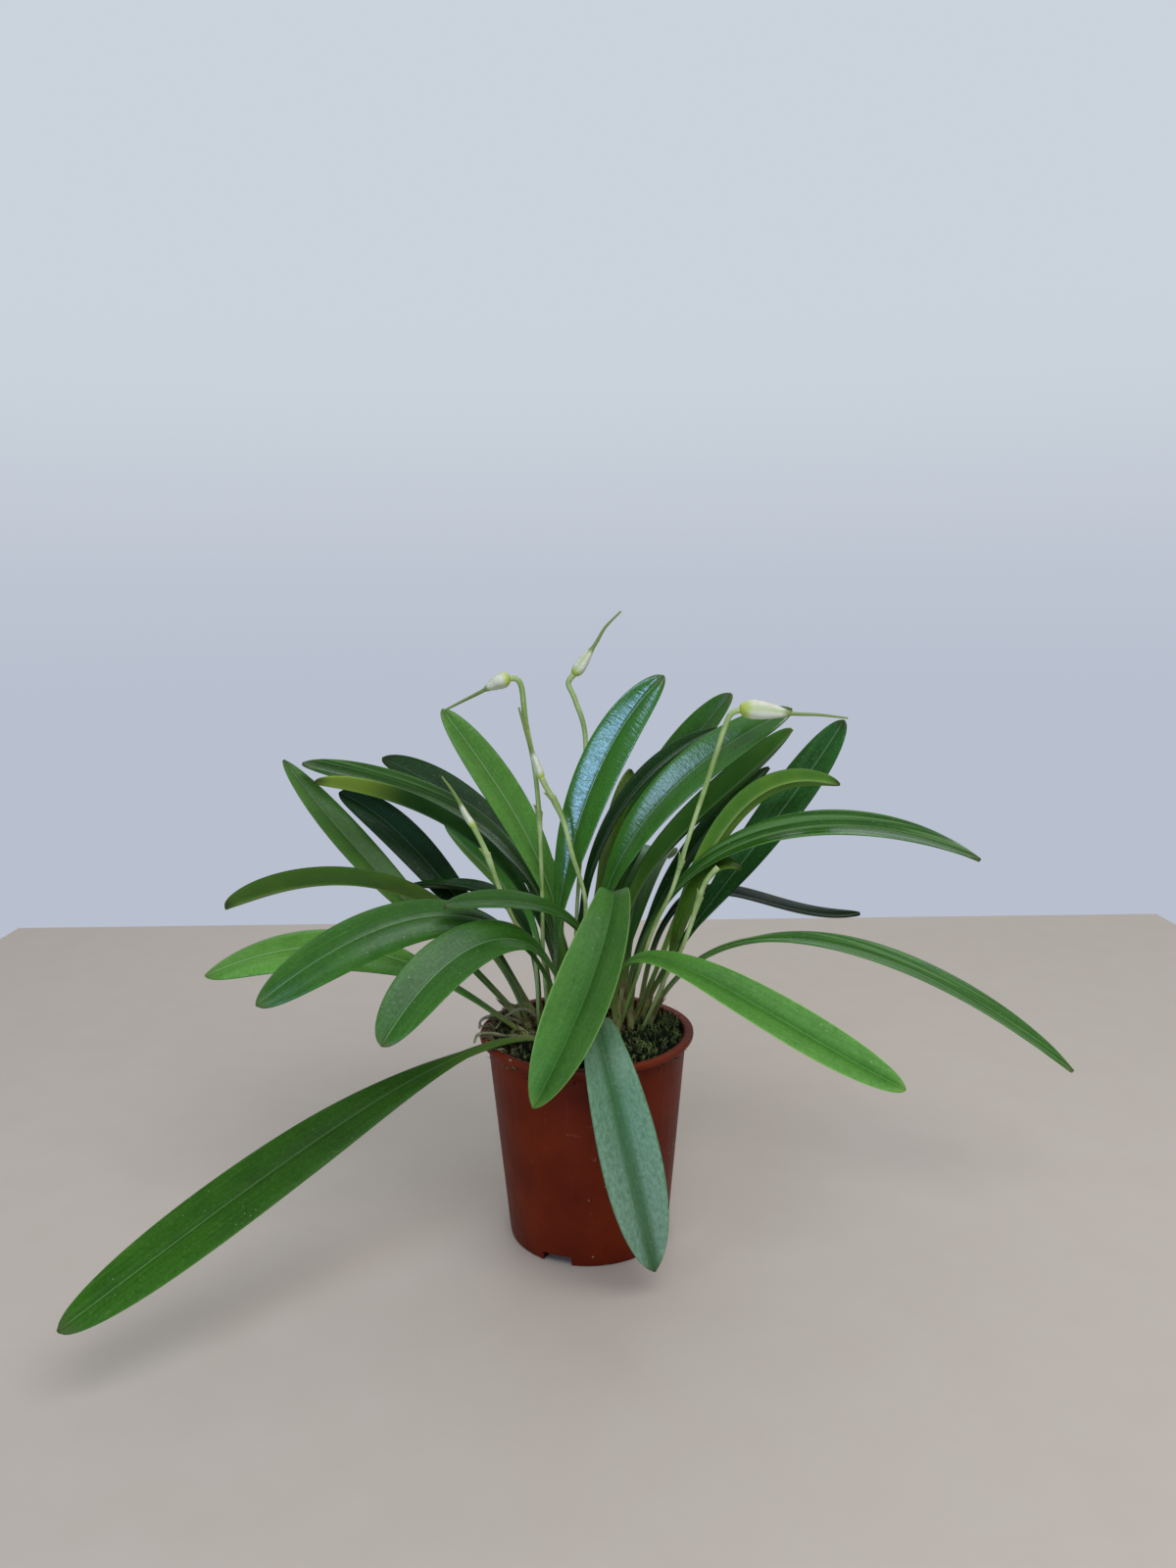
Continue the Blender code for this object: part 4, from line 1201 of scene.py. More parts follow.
@dataclass
class Moss:
    """Live moss: a crescent cushion on the front of the filling, covered in leafy shoots.

    It runs from the direction of its left end to that of its right end. The number of shoots is that of each
    half, and spread gives shares of its length and the radius from which shoots stand there.
    """

    filling: Filling
    start: float = math.radians(157.5)
    end: float = math.radians(397.5)
    inner: float = 20.0
    inner_left: float = 33.0
    inner_right: float = 35.5
    thickness: float = 3.2
    edge: float = 0.9
    lift: float = 0.45
    rows: int = 180
    columns: int = 26
    shoots: int = 1900
    leaflets: int = 14
    length: tuple[float, float] = (2.6, 8.0)
    spread: tuple[tuple[float, ...], tuple[float, ...]] = ((0.0, 0.2, 0.45, 0.6, 0.85, 1.0),
                                                           (31.0, 22.0, 17.0, 13.0, 17.0, 30.0))

    def inner_edge(self, share: np.ndarray) -> np.ndarray:
        """Radius of the crescent's inner edge, which runs out evenly to its left and right ends.

        Args:
            share: Shares of the crescent's length.

        Returns:
            Radii.
        """
        left = np.clip(1.0 - share / 0.24, 0.0, 1.0)
        right = np.clip((share - 0.70) / 0.18, 0.0, 1.0)
        return self.inner + (self.inner_left - self.inner) * left + (self.inner_right - self.inner) * right

    def across_at(self, share: np.ndarray, radius: np.ndarray) -> np.ndarray:
        """Shares of the crescent's width at radii; inwards of its inner edge they are below nought."""
        inner = self.inner_edge(share)
        return (radius - inner) / (self.filling.radius(self.filling.edge_height) - 0.2 - inner)

    def spot(self, share: np.ndarray, across: np.ndarray) -> tuple[np.ndarray, ...]:
        """Places on the cushion.

        The angle runs evenly from start to end. The inner edge runs out to its left and right ends. The
        cushion swells by the sine of the way across times a power of the sine of the way along.

        Args:
            share: Shares of the crescent's length.
            across: Shares of its width, from the inner edge out.

        Returns:
            x, y, the lower height and the upper height.
        """
        angle = self.start + (self.end - self.start) * share
        inner = self.inner_edge(share)
        radius = inner + (self.filling.radius(self.filling.edge_height) - 0.2 - inner) * across
        x, y = radius * np.cos(angle), radius * np.sin(angle)
        low = self.filling.height(x, y) + self.lift
        ends = np.sin(math.pi * np.clip(share, 0.02, 0.98)) ** 0.3
        swell = np.sin(math.pi * np.clip(across, 0.0, 1.0)) * ends
        bumps = 1.0 + 0.28 * np.sin(0.8 * x + 0.5 * y) + 0.22 * np.cos(0.55 * x - 0.9 * y)
        return x, y, low, low + self.edge + self.thickness * swell * bumps

    def cushion(self) -> Surface:
        """The cushion: rings across the crescent, over its rumpled top and back under it.

        Returns:
            The closed surface.
        """
        share = np.linspace(0.0, 1.0, self.rows)[:, None]
        across = np.linspace(0.0, 1.0, self.columns)[None, :]
        x, y, low, high = self.spot(share + 0 * across, across + 0 * share)
        inside = np.sin(math.pi * across) ** 0.5
        high = high + inside * (0.6 * Rumple(21, 4.0).at(x, y) + 0.35 * Rumple(22, 1.6).at(x, y))
        top = np.stack([x, y, high], axis=2)
        under = np.stack([x, y, low - 0.4], axis=2)
        return Surface.of_rings(np.concatenate([top, under[:, ::-1]], axis=1))

    def leafy_shoots(self, seed: int, first: float, last: float) -> Surface:
        """Shoots over a stretch of the cushion and inwards of it: thin stalks with leaflets in a spiral.

        A shoot leans out by a drawn angle and droops with the square of the way up. A leaflet is a flat
        pyramid of four points: two at its foot, one under them, and its tip.

        Args:
            seed: The seed of the draw.
            first: The share of the crescent's length where the stretch starts.
            last: The share where it ends.

        Returns:
            All shoots as one surface, with each point's tone and its share of the way up.
        """
        draw = np.random.default_rng(seed)
        n, m = self.shoots, self.leaflets
        share = draw.uniform(first, last, n)
        reach, outer = np.interp(share, *self.spread), self.filling.radius(self.filling.edge_height) - 0.4
        across = self.across_at(share, np.sqrt(draw.uniform(reach**2, outer**2)))
        x, y, _, high = self.spot(share, across)
        clump = 0.5 + 0.5 * Rumple(32, 9.0).at(x, y)
        foot = np.stack([x, y, high - 0.5], axis=1)
        length = draw.uniform(*self.length, n) * (0.65 + 0.6 * clump) * (0.85 + 0.35 * ease(share, 0.4, 0.6))
        heading, lean = draw.uniform(0, 2 * math.pi, n), draw.uniform(0.1, 1.3, n)
        flat = np.stack([np.cos(heading), np.sin(heading), 0 * heading], axis=1)
        rise = np.stack([0 * heading, 0 * heading, 1 + 0 * heading], axis=1)
        t = np.linspace(0.12, 1.0, m)[None, :, None]
        tilt, tall = np.sin(lean)[:, None, None], length[:, None, None]
        climb = tall * (np.cos(lean)[:, None, None] * t - 0.25 * t * t * tilt)
        middle = foot[:, None] + flat[:, None] * tall * tilt * t + rise[:, None] * climb
        spin = (np.arange(m) * 2.4)[None, :] + draw.uniform(0, 6.28, n)[:, None]
        stalk = unit(flat * np.sin(lean)[:, None] + rise * np.cos(lean)[:, None])
        side = unit(np.cross(stalk, ASLANT))
        third = np.cross(stalk, side)
        away = unit(side[:, None] * np.cos(spin)[:, :, None] + third[:, None] * np.sin(spin)[:, :, None]
                    + 0.75 * stalk[:, None])
        beside = unit(np.cross(away, stalk[:, None]))
        size = (draw.uniform(0.65, 1.25, (n, m)) * (1.15 - 0.55 * t[:, :, 0]))[:, :, None]
        leaf = np.stack([middle + beside * 0.2 * size, middle - beside * 0.2 * size,
                         middle - away * 0.10 + np.cross(away, beside) * 0.12,
                         middle + away * size * 1.35], axis=2)
        patch = 0.5 + 0.5 * Rumple(33, 14.0).at(x, y)
        dried = 0.45 * (share < 0.25) * draw.uniform(0, 1, n)
        pick = draw.uniform(0, 1, n) < 0.25 + 0.25 * patch
        tone = np.clip(np.where(pick, draw.uniform(0.6, 0.9, n), draw.uniform(0.0, 0.36, n)) + dried, 0, 1)
        leaves = Surface(leaf.reshape(-1, 3), self.leaflet_faces(leaf.reshape(-1, 4, 3)),
                         {"tone": np.repeat(tone, m * 4), "rise": np.repeat(np.tile(t[0, :, 0], n), 4)})
        return Surface.join([leaves, self.shoot_stalks(foot, middle, tone)])

    @staticmethod
    def leaflet_faces(corners: np.ndarray) -> np.ndarray:
        """Triangles of the leaflets, turned to face out.

        A leaflet whose first triangle's normal points to its lower point has its triangles reversed.

        Args:
            corners: The four points of each leaflet.

        Returns:
            Four triangles for each.
        """
        faces = repeated(np.array([[0, 1, 3], [1, 2, 3], [2, 0, 3], [0, 2, 1]]), 4, len(corners))
        faces = faces.reshape(-1, 4, 3)
        normal = np.cross(corners[:, 1] - corners[:, 0], corners[:, 3] - corners[:, 0])
        inward = (normal * (corners[:, 2] - corners[:, 0])).sum(axis=1) > 0.0
        faces[inward] = faces[inward][:, :, ::-1]
        return faces.reshape(-1, 3)

    @staticmethod
    def shoot_stalks(foot: np.ndarray, middle: np.ndarray, tone: np.ndarray) -> Surface:
        """Thin three-sided stalks of the shoots.

        Args:
            foot: Where each shoot starts.
            middle: The places of its leaflets; the stalk passes through one half-way up and the last.
            tone: Its tone.

        Returns:
            All stalks as one surface, with the values that the leaflets have.
        """
        line = np.stack([foot, middle[:, middle.shape[1] // 2], middle[:, -1]], axis=1)
        radius = np.array([0.20, 0.15, 0.06])[None, :, None, None]
        points = many_tubes(line, radius, 3, ASLANT)
        rise = np.tile(np.repeat([0.0, 0.5, 1.0], 3), len(foot))
        return Surface(points.reshape(-1, 3), repeated(ring_faces(3, 3), 9, len(foot)),
                       {"tone": np.repeat(tone, 9), "rise": rise})

    def build(self) -> None:
        """Make the cushion and its shoots."""
        ground = EarthFinish("moss_cushion", tint(34, 46, 22), tint(52, 62, 30), tint(12, 16, 8),
                             tint(74, 88, 42), 600.0)
        self.cushion().place("moss_cushion", ground.build(), "moss", ("moss",), crease=70.0)
        leafy = MossFinish().build()
        self.leafy_shoots(31, 0.01, 0.5).place("moss_shoots_left", leafy, "moss", crease=20.0)
        self.leafy_shoots(34, 0.5, 0.97).place("moss_shoots_right", leafy, "moss", crease=20.0)


@dataclass
class Litter:
    """Dry moss threads at the left and pale roots that hang over the rim."""

    filling: Filling
    threads: int = 420
    thread_steps: int = 14
    thread_length: tuple[float, float] = (3.0, 10.0)
    root_steps: int = 60
    root_sides: int = 10
    roots: tuple[tuple[Point, ...], ...] = (
        ((-18, 2, 84.5), (-26, -3, 87), (-34, -6, 88.5), (-41, -7, 90.2), (-45.6, -7.5, 89.6),
         (-47.2, -7, 86)),
        ((-14, 6, 84), (-20, 8, 90), (-27, 8, 95), (-34, 6, 93), (-39, 3, 88)),
        ((-22, 8, 84), (-29, 11, 88), (-36, 13, 89.5), (-41.5, 12, 90.5), (-45.8, 11, 89),
         (-46.6, 10.5, 85.5)),
    )

    def tangle(self) -> Surface:
        """Threads of dry moss, each a thin tube that wanders level and rises and falls once.

        A thread's heading turns evenly, plus a sine. Its height is the ground's plus a sine. It is kept
        above the rim where it crosses it, and near the pot's own reach.

        Returns:
            All threads as one surface, with each thread's tone.
        """
        draw = np.random.default_rng(41)
        n, m = self.threads, self.thread_steps
        turn = draw.uniform(math.radians(140), math.radians(216), n)
        radius = draw.uniform(27.0, 42.5, n)
        start = np.stack([radius * np.cos(turn), radius * np.sin(turn)], axis=1)
        ground = self.filling.height(start[:, 0], start[:, 1])
        t = np.linspace(0.0, 1.0, m)[None, :]
        heading = draw.uniform(0, 2 * math.pi, n)[:, None]
        length = draw.uniform(*self.thread_length, n)[:, None]
        curl = draw.uniform(-4.5, 4.5, n)[:, None]
        bend = heading + curl * t + 0.9 * np.sin(9 * t + heading * 3)
        step = length / m
        x = start[:, :1] + np.cumsum(np.cos(bend), axis=1) * step
        y = start[:, 1:] + np.cumsum(np.sin(bend), axis=1) * step
        peak = draw.uniform(0.4, 6.0, n)[:, None]
        arch = np.sin(math.pi * t * draw.uniform(0.6, 1.3, n)[:, None])
        z = ground[:, None] + 0.8 + peak * (0.35 + 0.65 * arch)
        limit = np.maximum(np.hypot(x, y) / 45.5, 1.0)
        line = np.stack([x / limit, y / limit, z], axis=2)
        over = ease(np.hypot(line[:, :, 0], line[:, :, 1]), 38.5, 40.8)
        line[:, :, 2] = np.maximum(line[:, :, 2], 84.0 + 5.6 * over)
        thick = (draw.uniform(0.16, 0.42, n)[:, None] * (1.0 - 0.5 * t))[:, :, None, None]
        points = many_tubes(line, thick, 4, STEEP)
        return Surface(points.reshape(-1, 3), repeated(ring_faces(m, 4), 4 * m, n),
                       {"tone": np.repeat(draw.uniform(0, 1, n), 4 * m)})

    def root_tubes(self) -> Surface:
        """Pale roots along their own lines, thickest in the middle, with a gently uneven girth.

        Returns:
            The roots as one surface, with each root's tone.
        """
        parts = []
        share = np.linspace(0.0, 1.0, self.root_steps)
        for order, corners in enumerate(self.roots):
            line = spaced(smooth_line(np.array(corners)), share)
            uneven = 1.0 + 0.12 * np.sin(31 * share + order)
            radius = (0.45 + 0.35 * np.sin(math.pi * share) ** 0.6) * uneven
            points = tube(line, radius, self.root_sides, STEEP)
            parts.append(Surface.of_rings(points, tone=0.3 + 0.1 * order))
        return Surface.join(parts)

    def build(self) -> None:
        """Make the threads and the roots."""
        dry = EarthFinish("dry_moss", tint(120, 106, 76), tint(186, 174, 138), tint(58, 48, 34),
                          tint(206, 196, 164), 900.0, True)
        self.tangle().place("dry_moss", dry.build(), "potting_mix")
        pale = EarthFinish("roots", tint(176, 170, 128), tint(206, 200, 168), tint(120, 112, 74),
                           tint(214, 210, 184), 500.0, True)
        self.root_tubes().place("roots", pale.build(), "potting_mix")


# Leaves


@dataclass(frozen=True)
class Leaf:
    """A leaf along a cubic curve: its root on the filling, two points that bend it, and its tip.

    Attributes:
        name: The solid's name.
        root: Where the stalk leaves the filling.
        rise: The point that the stalk rises towards.
        bend: The point that bends the blade.
        tip: The tip.
        width: The blade's greatest width.
        turn: How far the upper face is rolled towards the front, in degrees.
        tint: The leaf's finish.
        light: How light its green is; 1 is the finish's own.
        gloss: How much glossier and more rippled it is than its finish, from 0 to 1.
        ripe: The share of its length where the yellow of its end begins; over 1 it has none.
        fold: The fold of its blade, in degrees.
        fall: How slowly the blade narrows to its tip; more makes a sharper tip.
        stalk: The stalk's share of the length.
        half_shade: Painted shade: how light the green is painted on the half against and along its side
            direction.
        ridges: How strongly painted light and dark bands run along it, from 0 to 1: painted highlights on its
            ridge lines and painted shade between them.
        tip_light: How much lighter its tip is than its middle; 1 is the same.
    """

    name: str
    root: tuple[float, float]
    rise: Point
    bend: Point
    tip: Point
    width: float
    turn: float
    tint: Tint = Tint.GREEN
    light: float = 1.0
    gloss: float = 0.0
    ripe: float = 1.2
    fold: float = 16.0
    fall: float = 0.52
    stalk: float = 0.22
    half_shade: tuple[float, float] = (1.0, 1.0)
    ridges: float = 0.12
    tip_light: float = 1.0


@dataclass(frozen=True)
class Sections:
    """Where the points of a leaf's sections stand.

    Attributes:
        at: Shares of the leaf's length, in a column.
        width: Half widths there, in a column.
        ring: Shares of the way out to each side, in a row.
        upper: 1 on the upper face and -1 on the lower, in a row.
    """

    at: np.ndarray
    width: np.ndarray
    ring: np.ndarray
    upper: np.ndarray

    @property
    def beside(self) -> np.ndarray:
        """Distances from the midrib to each side, by section and point."""
        return self.ring * self.width


@dataclass
class Foliage:
    """All leaves: the section sizes that they share, and the table of their curves."""

    root_height: float = 85.0
    stalk_depth: float = 5.0
    stalk_half_width: float = 1.7
    stalk_spread: float = 0.9
    stalk_thickness: float = 2.4
    stalk_edge: float = 1.4
    blade_thickness: float = 1.4
    blade_edge: float = 0.8
    tip_half_width: float = 0.5
    wave: float = 0.35
    shoulder: float = 0.42
    stations: int = 84
    across: tuple[float, ...] = (0.02, 0.045, 0.08, 0.13, 0.2, 0.29, 0.39, 0.5, 0.61, 0.72, 0.82, 0.9,
                                 0.955, 0.985)
    sheath_steps: int = 12
    sheath_sides: int = 28
    sheath_reach: tuple[float, float] = (1.98, 1.50)
    sheath_wall: float = 0.18
    leaves: tuple[Leaf, ...] = (
        Leaf("leaf_front_centre", (5, 3), (4, -2, 182), (31, -42, 171), (-20, -62, 82), 24, 0, Tint.BRIGHT,
             stalk=0.35, fall=0.65, fold=24, light=0.92, half_shade=(0.78, 0.98), tip_light=1.2),
        Leaf("leaf_front_hang", (9, -5), (-2, -34, 124), (9, -70, 98), (25, -58, 13), 24, 0, Tint.SILVER,
             light=1.08, stalk=0.1, fall=0.66),
        Leaf("leaf_long_left", (-14, -6), (-44, -24, 106), (-110, -84, 72), (-176, -120, 32), 23, 30,
             Tint.DULL, light=0.57, stalk=0.14, fold=2, tip_light=1.75),
        Leaf("leaf_left_over", (1, -3), (19, -4, 147), (-28, -15, 152), (-55, -30, 151), 13, 20, Tint.GREEN,
             light=0.85),
        Leaf("leaf_left_big", (-9, 0), (-19, -2, 154), (-70, -30, 162), (-126, -45, 117), 21, 45,
             Tint.GREEN, light=0.92, fold=-8, tip_light=1.35),
        Leaf("leaf_left_pale", (-25, 2), (-50, 4, 102), (-92, 6, 145), (-160, 0, 114), 22, 35, Tint.PALE,
             light=1.4, fall=0.62, fold=-6),
        Leaf("leaf_left_front", (-5, -8), (-11, -10, 150), (-49, -34, 149), (-76, -60, 106), 22, 35,
             Tint.GREEN, tip_light=1.15),
        Leaf("leaf_left_curl", (-25, 9), (-36, 12, 138), (-94, 18, 167), (-155, 16, 139), 23, -35,
             Tint.YELLOW, stalk=0.14),
        Leaf("leaf_left_high", (-27, 17), (-55, 28, 113), (-102, 42, 152), (-136, 52, 198), 16, 30,
             Tint.PALE, light=0.78, fall=0.62),
        Leaf("leaf_left_dark", (-22, 22), (-44, 30, 121), (-79, 46, 172), (-111, 50, 183), 16, 60,
             Tint.DARK, light=0.8),
        Leaf("leaf_left_striped", (-12, 27), (-8, 33, 166), (-64, 45, 184), (-126, 46, 197), 17, 25,
             Tint.GREEN, light=0.8, gloss=0.4, ridges=1.0),
        Leaf("leaf_left_yellow_tip", (-10, 19), (-13, 19, 152), (-56, 23, 184), (-116, 25, 192), 19, -35,
             Tint.DARK, gloss=0.4, ripe=0.74, ridges=1.0),
        Leaf("leaf_left_low_back", (-21, 15), (-19, 18, 150), (-48, 24, 146), (-77, 28, 145), 15, 0,
             Tint.DARK),
        Leaf("leaf_pale_under", (-16, 32), (-18, 38, 134), (-46, 50, 148), (-64, 54, 167), 14, -75,
             Tint.PALE, light=1.7),
        Leaf("leaf_back_left", (-5, 34), (-10, 46, 147), (-57, 61, 181), (-94, 68, 196), 19, 30, Tint.DARK),
        Leaf("leaf_up_left", (-15, 12), (0, 16, 138), (-28, 18, 180), (-60, 24, 223), 16, 50, Tint.PALE,
             light=1.15),
        Leaf("leaf_tall", (-11, 6), (-18, 8, 134), (-2, 3, 205), (33, -2, 238), 18, 80,
             Tint.POLISHED, light=1.1, gloss=1.0, fold=12, tip_light=1.15),
        Leaf("leaf_olive", (4, 28), (4, 42, 128), (10, 53, 161), (21, 54, 192), 17, 80, Tint.YELLOW,
             light=1.3),
        Leaf("leaf_back_right", (10, 33), (6, 34, 140), (25, 37, 183), (65, 36, 227), 20, 40, Tint.GREEN),
        Leaf("leaf_dark_edge", (0, 15), (-12, 17, 158), (22, 24, 200), (58, 24, 213), 13, 15, Tint.DARK),
        Leaf("leaf_glossy", (7, 9), (-7, 9, 153), (33, 8, 199), (86, 6, 223), 18, 55, Tint.POLISHED,
             gloss=1.0, fold=12),
        Leaf("leaf_bright_edge", (14, 20), (4, 22, 155), (55, 22, 175), (89, 22, 213), 22, -40, Tint.PALE,
             light=0.9),
        Leaf("leaf_right_arch", (20, 15), (46, 14, 142), (58, 13, 206), (108, 14, 190), 12, -60,
             Tint.YELLOW, light=1.4),
        Leaf("leaf_right_high", (24, 24), (39, 26, 122), (83, 32, 164), (114, 35, 215), 19, 45, Tint.DARK,
             light=2.25),
        Leaf("leaf_right_long", (19, 8), (17, 8, 170), (96, -2, 193), (162, -5, 161), 19, 20, Tint.GREEN,
             gloss=0.4, fall=0.62, ridges=1.0),
        Leaf("leaf_right_narrow", (23.5, 29.5), (39, 40, 177), (78, 46, 117), (126, 48, 124), 14, 10,
             Tint.DARK, light=0.45),
        Leaf("leaf_right_low", (27, 17), (48, 16, 138), (117, 8, 140), (208, 2, 66), 19, 15, Tint.GREEN,
             light=1.4, gloss=0.2, fall=0.62, ridges=0.7),
        Leaf("leaf_right_front", (13, 1), (4, -2, 156), (58, -24, 109), (123, -46, 80), 18, 40, Tint.BRIGHT,
             light=1.3, stalk=0.12, tip_light=1.15),
        Leaf("leaf_hooked", (26, 10), (38, 8, 114), (46, 4, 170), (65, 2, 157), 12, 30, Tint.YELLOW),
        Leaf("leaf_dark_back", (17, 27), (22, 30, 132), (55, 36, 171), (82, 38, 194), 13, 20, Tint.DARK),
        Leaf("leaf_back_low", (-10.5, 34.5), (-13, 44, 128), (-24, 74, 158), (-34, 96, 136), 19, 0,
             Tint.GREEN),
        Leaf("leaf_back_wide", (15.5, 33), (19, 43, 128), (30, 72, 162), (42, 98, 140), 19, 0, Tint.GREEN),
    )

    def midrib(self, leaf: Leaf, count: int = 200) -> np.ndarray:
        """Points evenly spaced along a leaf's midrib, from the filling to the tip."""
        corners = [(*leaf.root, self.root_height), leaf.rise, leaf.bend, leaf.tip]
        return even_cubic(np.array(corners, float), count)

    @staticmethod
    def level_side(line: np.ndarray) -> np.ndarray:
        """Level direction to the right of the heading from a line's first point to its last."""
        heading = unit((line[-1] - line[0]) * (1.0, 1.0, 0.0))
        return np.array([heading[1], -heading[0], 0.0])

    def half_width(self, leaf: Leaf, share: np.ndarray) -> np.ndarray:
        """Half the leaf's width at shares of its length.

        With x the share of the blade, the blade is x to the power 0.95 times 1 - x to the power of the
        leaf's own fall, scaled to the leaf's width at its widest. The stalk is narrow and widens evenly. The
        wider of the two counts.

        Args:
            leaf: The leaf.
            share: Shares of its length.

        Returns:
            Half widths in millimetres.
        """
        rise, fall = 0.95, leaf.fall
        peak = rise / (rise + fall)
        x = np.clip((share - leaf.stalk) / (1.0 - leaf.stalk), 0.0, 1.0)
        blade = x**rise * (1.0 - x) ** fall / (peak**rise * (1.0 - peak) ** fall)
        stalk = self.stalk_half_width + self.stalk_spread * np.clip(share / leaf.stalk, 0.0, 1.0)
        return np.maximum(leaf.width / 2 * blade, np.where(share < 0.6, stalk, self.tip_half_width))

    def carried(self, leaf: Leaf, at: np.ndarray) -> tuple[np.ndarray, ...]:
        """What a section is carried by: the midrib, and a side and an up direction square to it.

        The side is level at first. Both are rolled about the midrib by the leaf's turn, which sets in
        smoothly over the first half of its length.

        Args:
            leaf: The leaf.
            at: Shares of its length.

        Returns:
            The midrib's points, its own direction, the side and the up directions.
        """
        line = self.midrib(leaf)
        along, flat = unit(np.gradient(line, axis=0)), self.level_side(line)
        side = unit(flat - (along @ flat)[:, None] * along)
        up = np.cross(side, along)
        share = np.linspace(0.0, 1.0, len(line))
        front = 1.0 if leaf.tip[0] < leaf.root[0] else -1.0
        roll = (math.radians(leaf.turn) * front * ease(share, 0.05, 0.55))[:, None]
        side, up = side * np.cos(roll) + up * np.sin(roll), up * np.cos(roll) - side * np.sin(roll)
        return tuple(between(at, share, rows) for rows in (line, along, side, up))

    def relief(self, leaf: Leaf, order: int, places: Sections) -> np.ndarray:
        """Heights of a leaf's sections over its midrib.

        Across the section the blade folds up from the midrib by 0.35 of the way out plus 0.65 of its square,
        times the fold's tangent. Half the thickness goes up and down from there and closes at the margins as
        the root of 1 less the tenth power of the way out. A narrow bell cuts the groove and a wider one
        raises the keel.

        Args:
            leaf: The leaf.
            order: Its place in the table, which shifts its waves.
            places: Where the section points stand.

        Returns:
            Heights by section and point.
        """
        at, width, ring, upper = places.at, places.width, places.ring, places.upper
        out, blade, full = np.abs(ring), np.clip(at / 0.25, 0.0, 1.0), np.clip(width / 5, 0.0, 1.0)
        rib = self.stalk_thickness + (self.blade_thickness - self.stalk_thickness) * blade
        edge = self.stalk_edge + (self.blade_edge - self.stalk_edge) * blade
        half_thick = 0.5 * (rib * (1.0 - out) + edge * out) * np.sqrt(1.0 - out**10)
        wave = self.wave * blade * out**2 * np.sin(9.0 * at + 1.7 * order + 1.3 * ring)
        lift = width * math.tan(math.radians(leaf.fold)) * blade * (0.35 * out + 0.65 * out**2)
        lift = lift + wave * full + self.shoulder * blade * np.sin(math.pi * out)
        groove = 0.12 * bell(places.beside, 0.6) * (upper > 0) * np.clip(width / 4, 0.3, 1.0)
        keel = 0.45 * bell(places.beside, 1.0) * (upper < 0) * blade * full
        return lift + upper * half_thick - groove - keel

    def surface(self, leaf: Leaf, order: int) -> Surface:
        """The leaf as a closed ring of section points carried along its midrib.

        The stations stand closer towards the tip. The ring runs over the upper face and back under it.

        Args:
            leaf: The leaf.
            order: Its place in the table.

        Returns:
            The leaf's surface, with the values that its finish reads.
        """
        even = np.linspace(0.0, 1.0, self.stations)
        at = 0.55 * even + 0.45 * (1.0 - (1.0 - even) ** 1.9)
        middle, along, side, up = self.carried(leaf, at)
        width = self.half_width(leaf, at)
        middle = np.vstack([middle[0] - along[0] * self.stalk_depth, middle])
        side, up = np.vstack([side[0], side]), np.vstack([up[0], up])
        width, at = np.r_[width[0], width][:, None], np.r_[0.0, at][:, None]
        half = np.array(self.across)
        top = np.r_[-1.0, -half[::-1], 0.0, half, 1.0]
        ring = np.r_[top, top[-2:0:-1]][None, :]
        upper = np.r_[np.ones(len(top)), -np.ones(len(top) - 2)][None, :]
        places = Sections(at, width, ring, upper)
        rise = self.relief(leaf, order, places)
        points = (middle[:, None] + side[:, None] * places.beside[:, :, None]
                  + up[:, None] * rise[:, :, None])
        return Surface.of_rings(points, **self.looks(leaf, order, places))

    def looks(self, leaf: Leaf, order: int, places: Sections) -> dict[str, object]:
        """The values that a leaf's finish reads.

        The lightness is the leaf's own, times the painted shade on each half, times its tip's, times 0.9 plus
        0.2 of the square of the way out.

        Args:
            leaf: The leaf.
            order: Its place in the table, which sets its tone.
            places: Where the section points stand.

        Returns:
            The values by name.
        """
        at, out = places.at, np.abs(places.ring)
        length = float(np.linalg.norm(np.diff(self.midrib(leaf), axis=0), axis=1).sum())
        # Painted shade: one half of a leaf can be painted darker than the other
        half_shade = leaf.half_shade[0] + (leaf.half_shade[1] - leaf.half_shade[0]) * ease(places.beside, -0.5, 0.5)
        tip = 1.0 + (leaf.tip_light - 1.0) * ease(at, 0.45, 0.95)
        return {
            "across": places.ring,
            "along": at,
            "beside": places.beside,
            "run": at * length,
            "under": (places.upper < 0) * ease(1.0 - out, 0.0, 0.05),
            "tone": float(np.random.default_rng(100 + order).uniform()),
            "light": leaf.light * half_shade * tip * (0.90 + 0.20 * out**2),
            "gloss": leaf.gloss,
            "ridges": leaf.ridges,
            "ripe": 0.85 * ease(at, leaf.ripe, leaf.ripe + 0.16),
        }

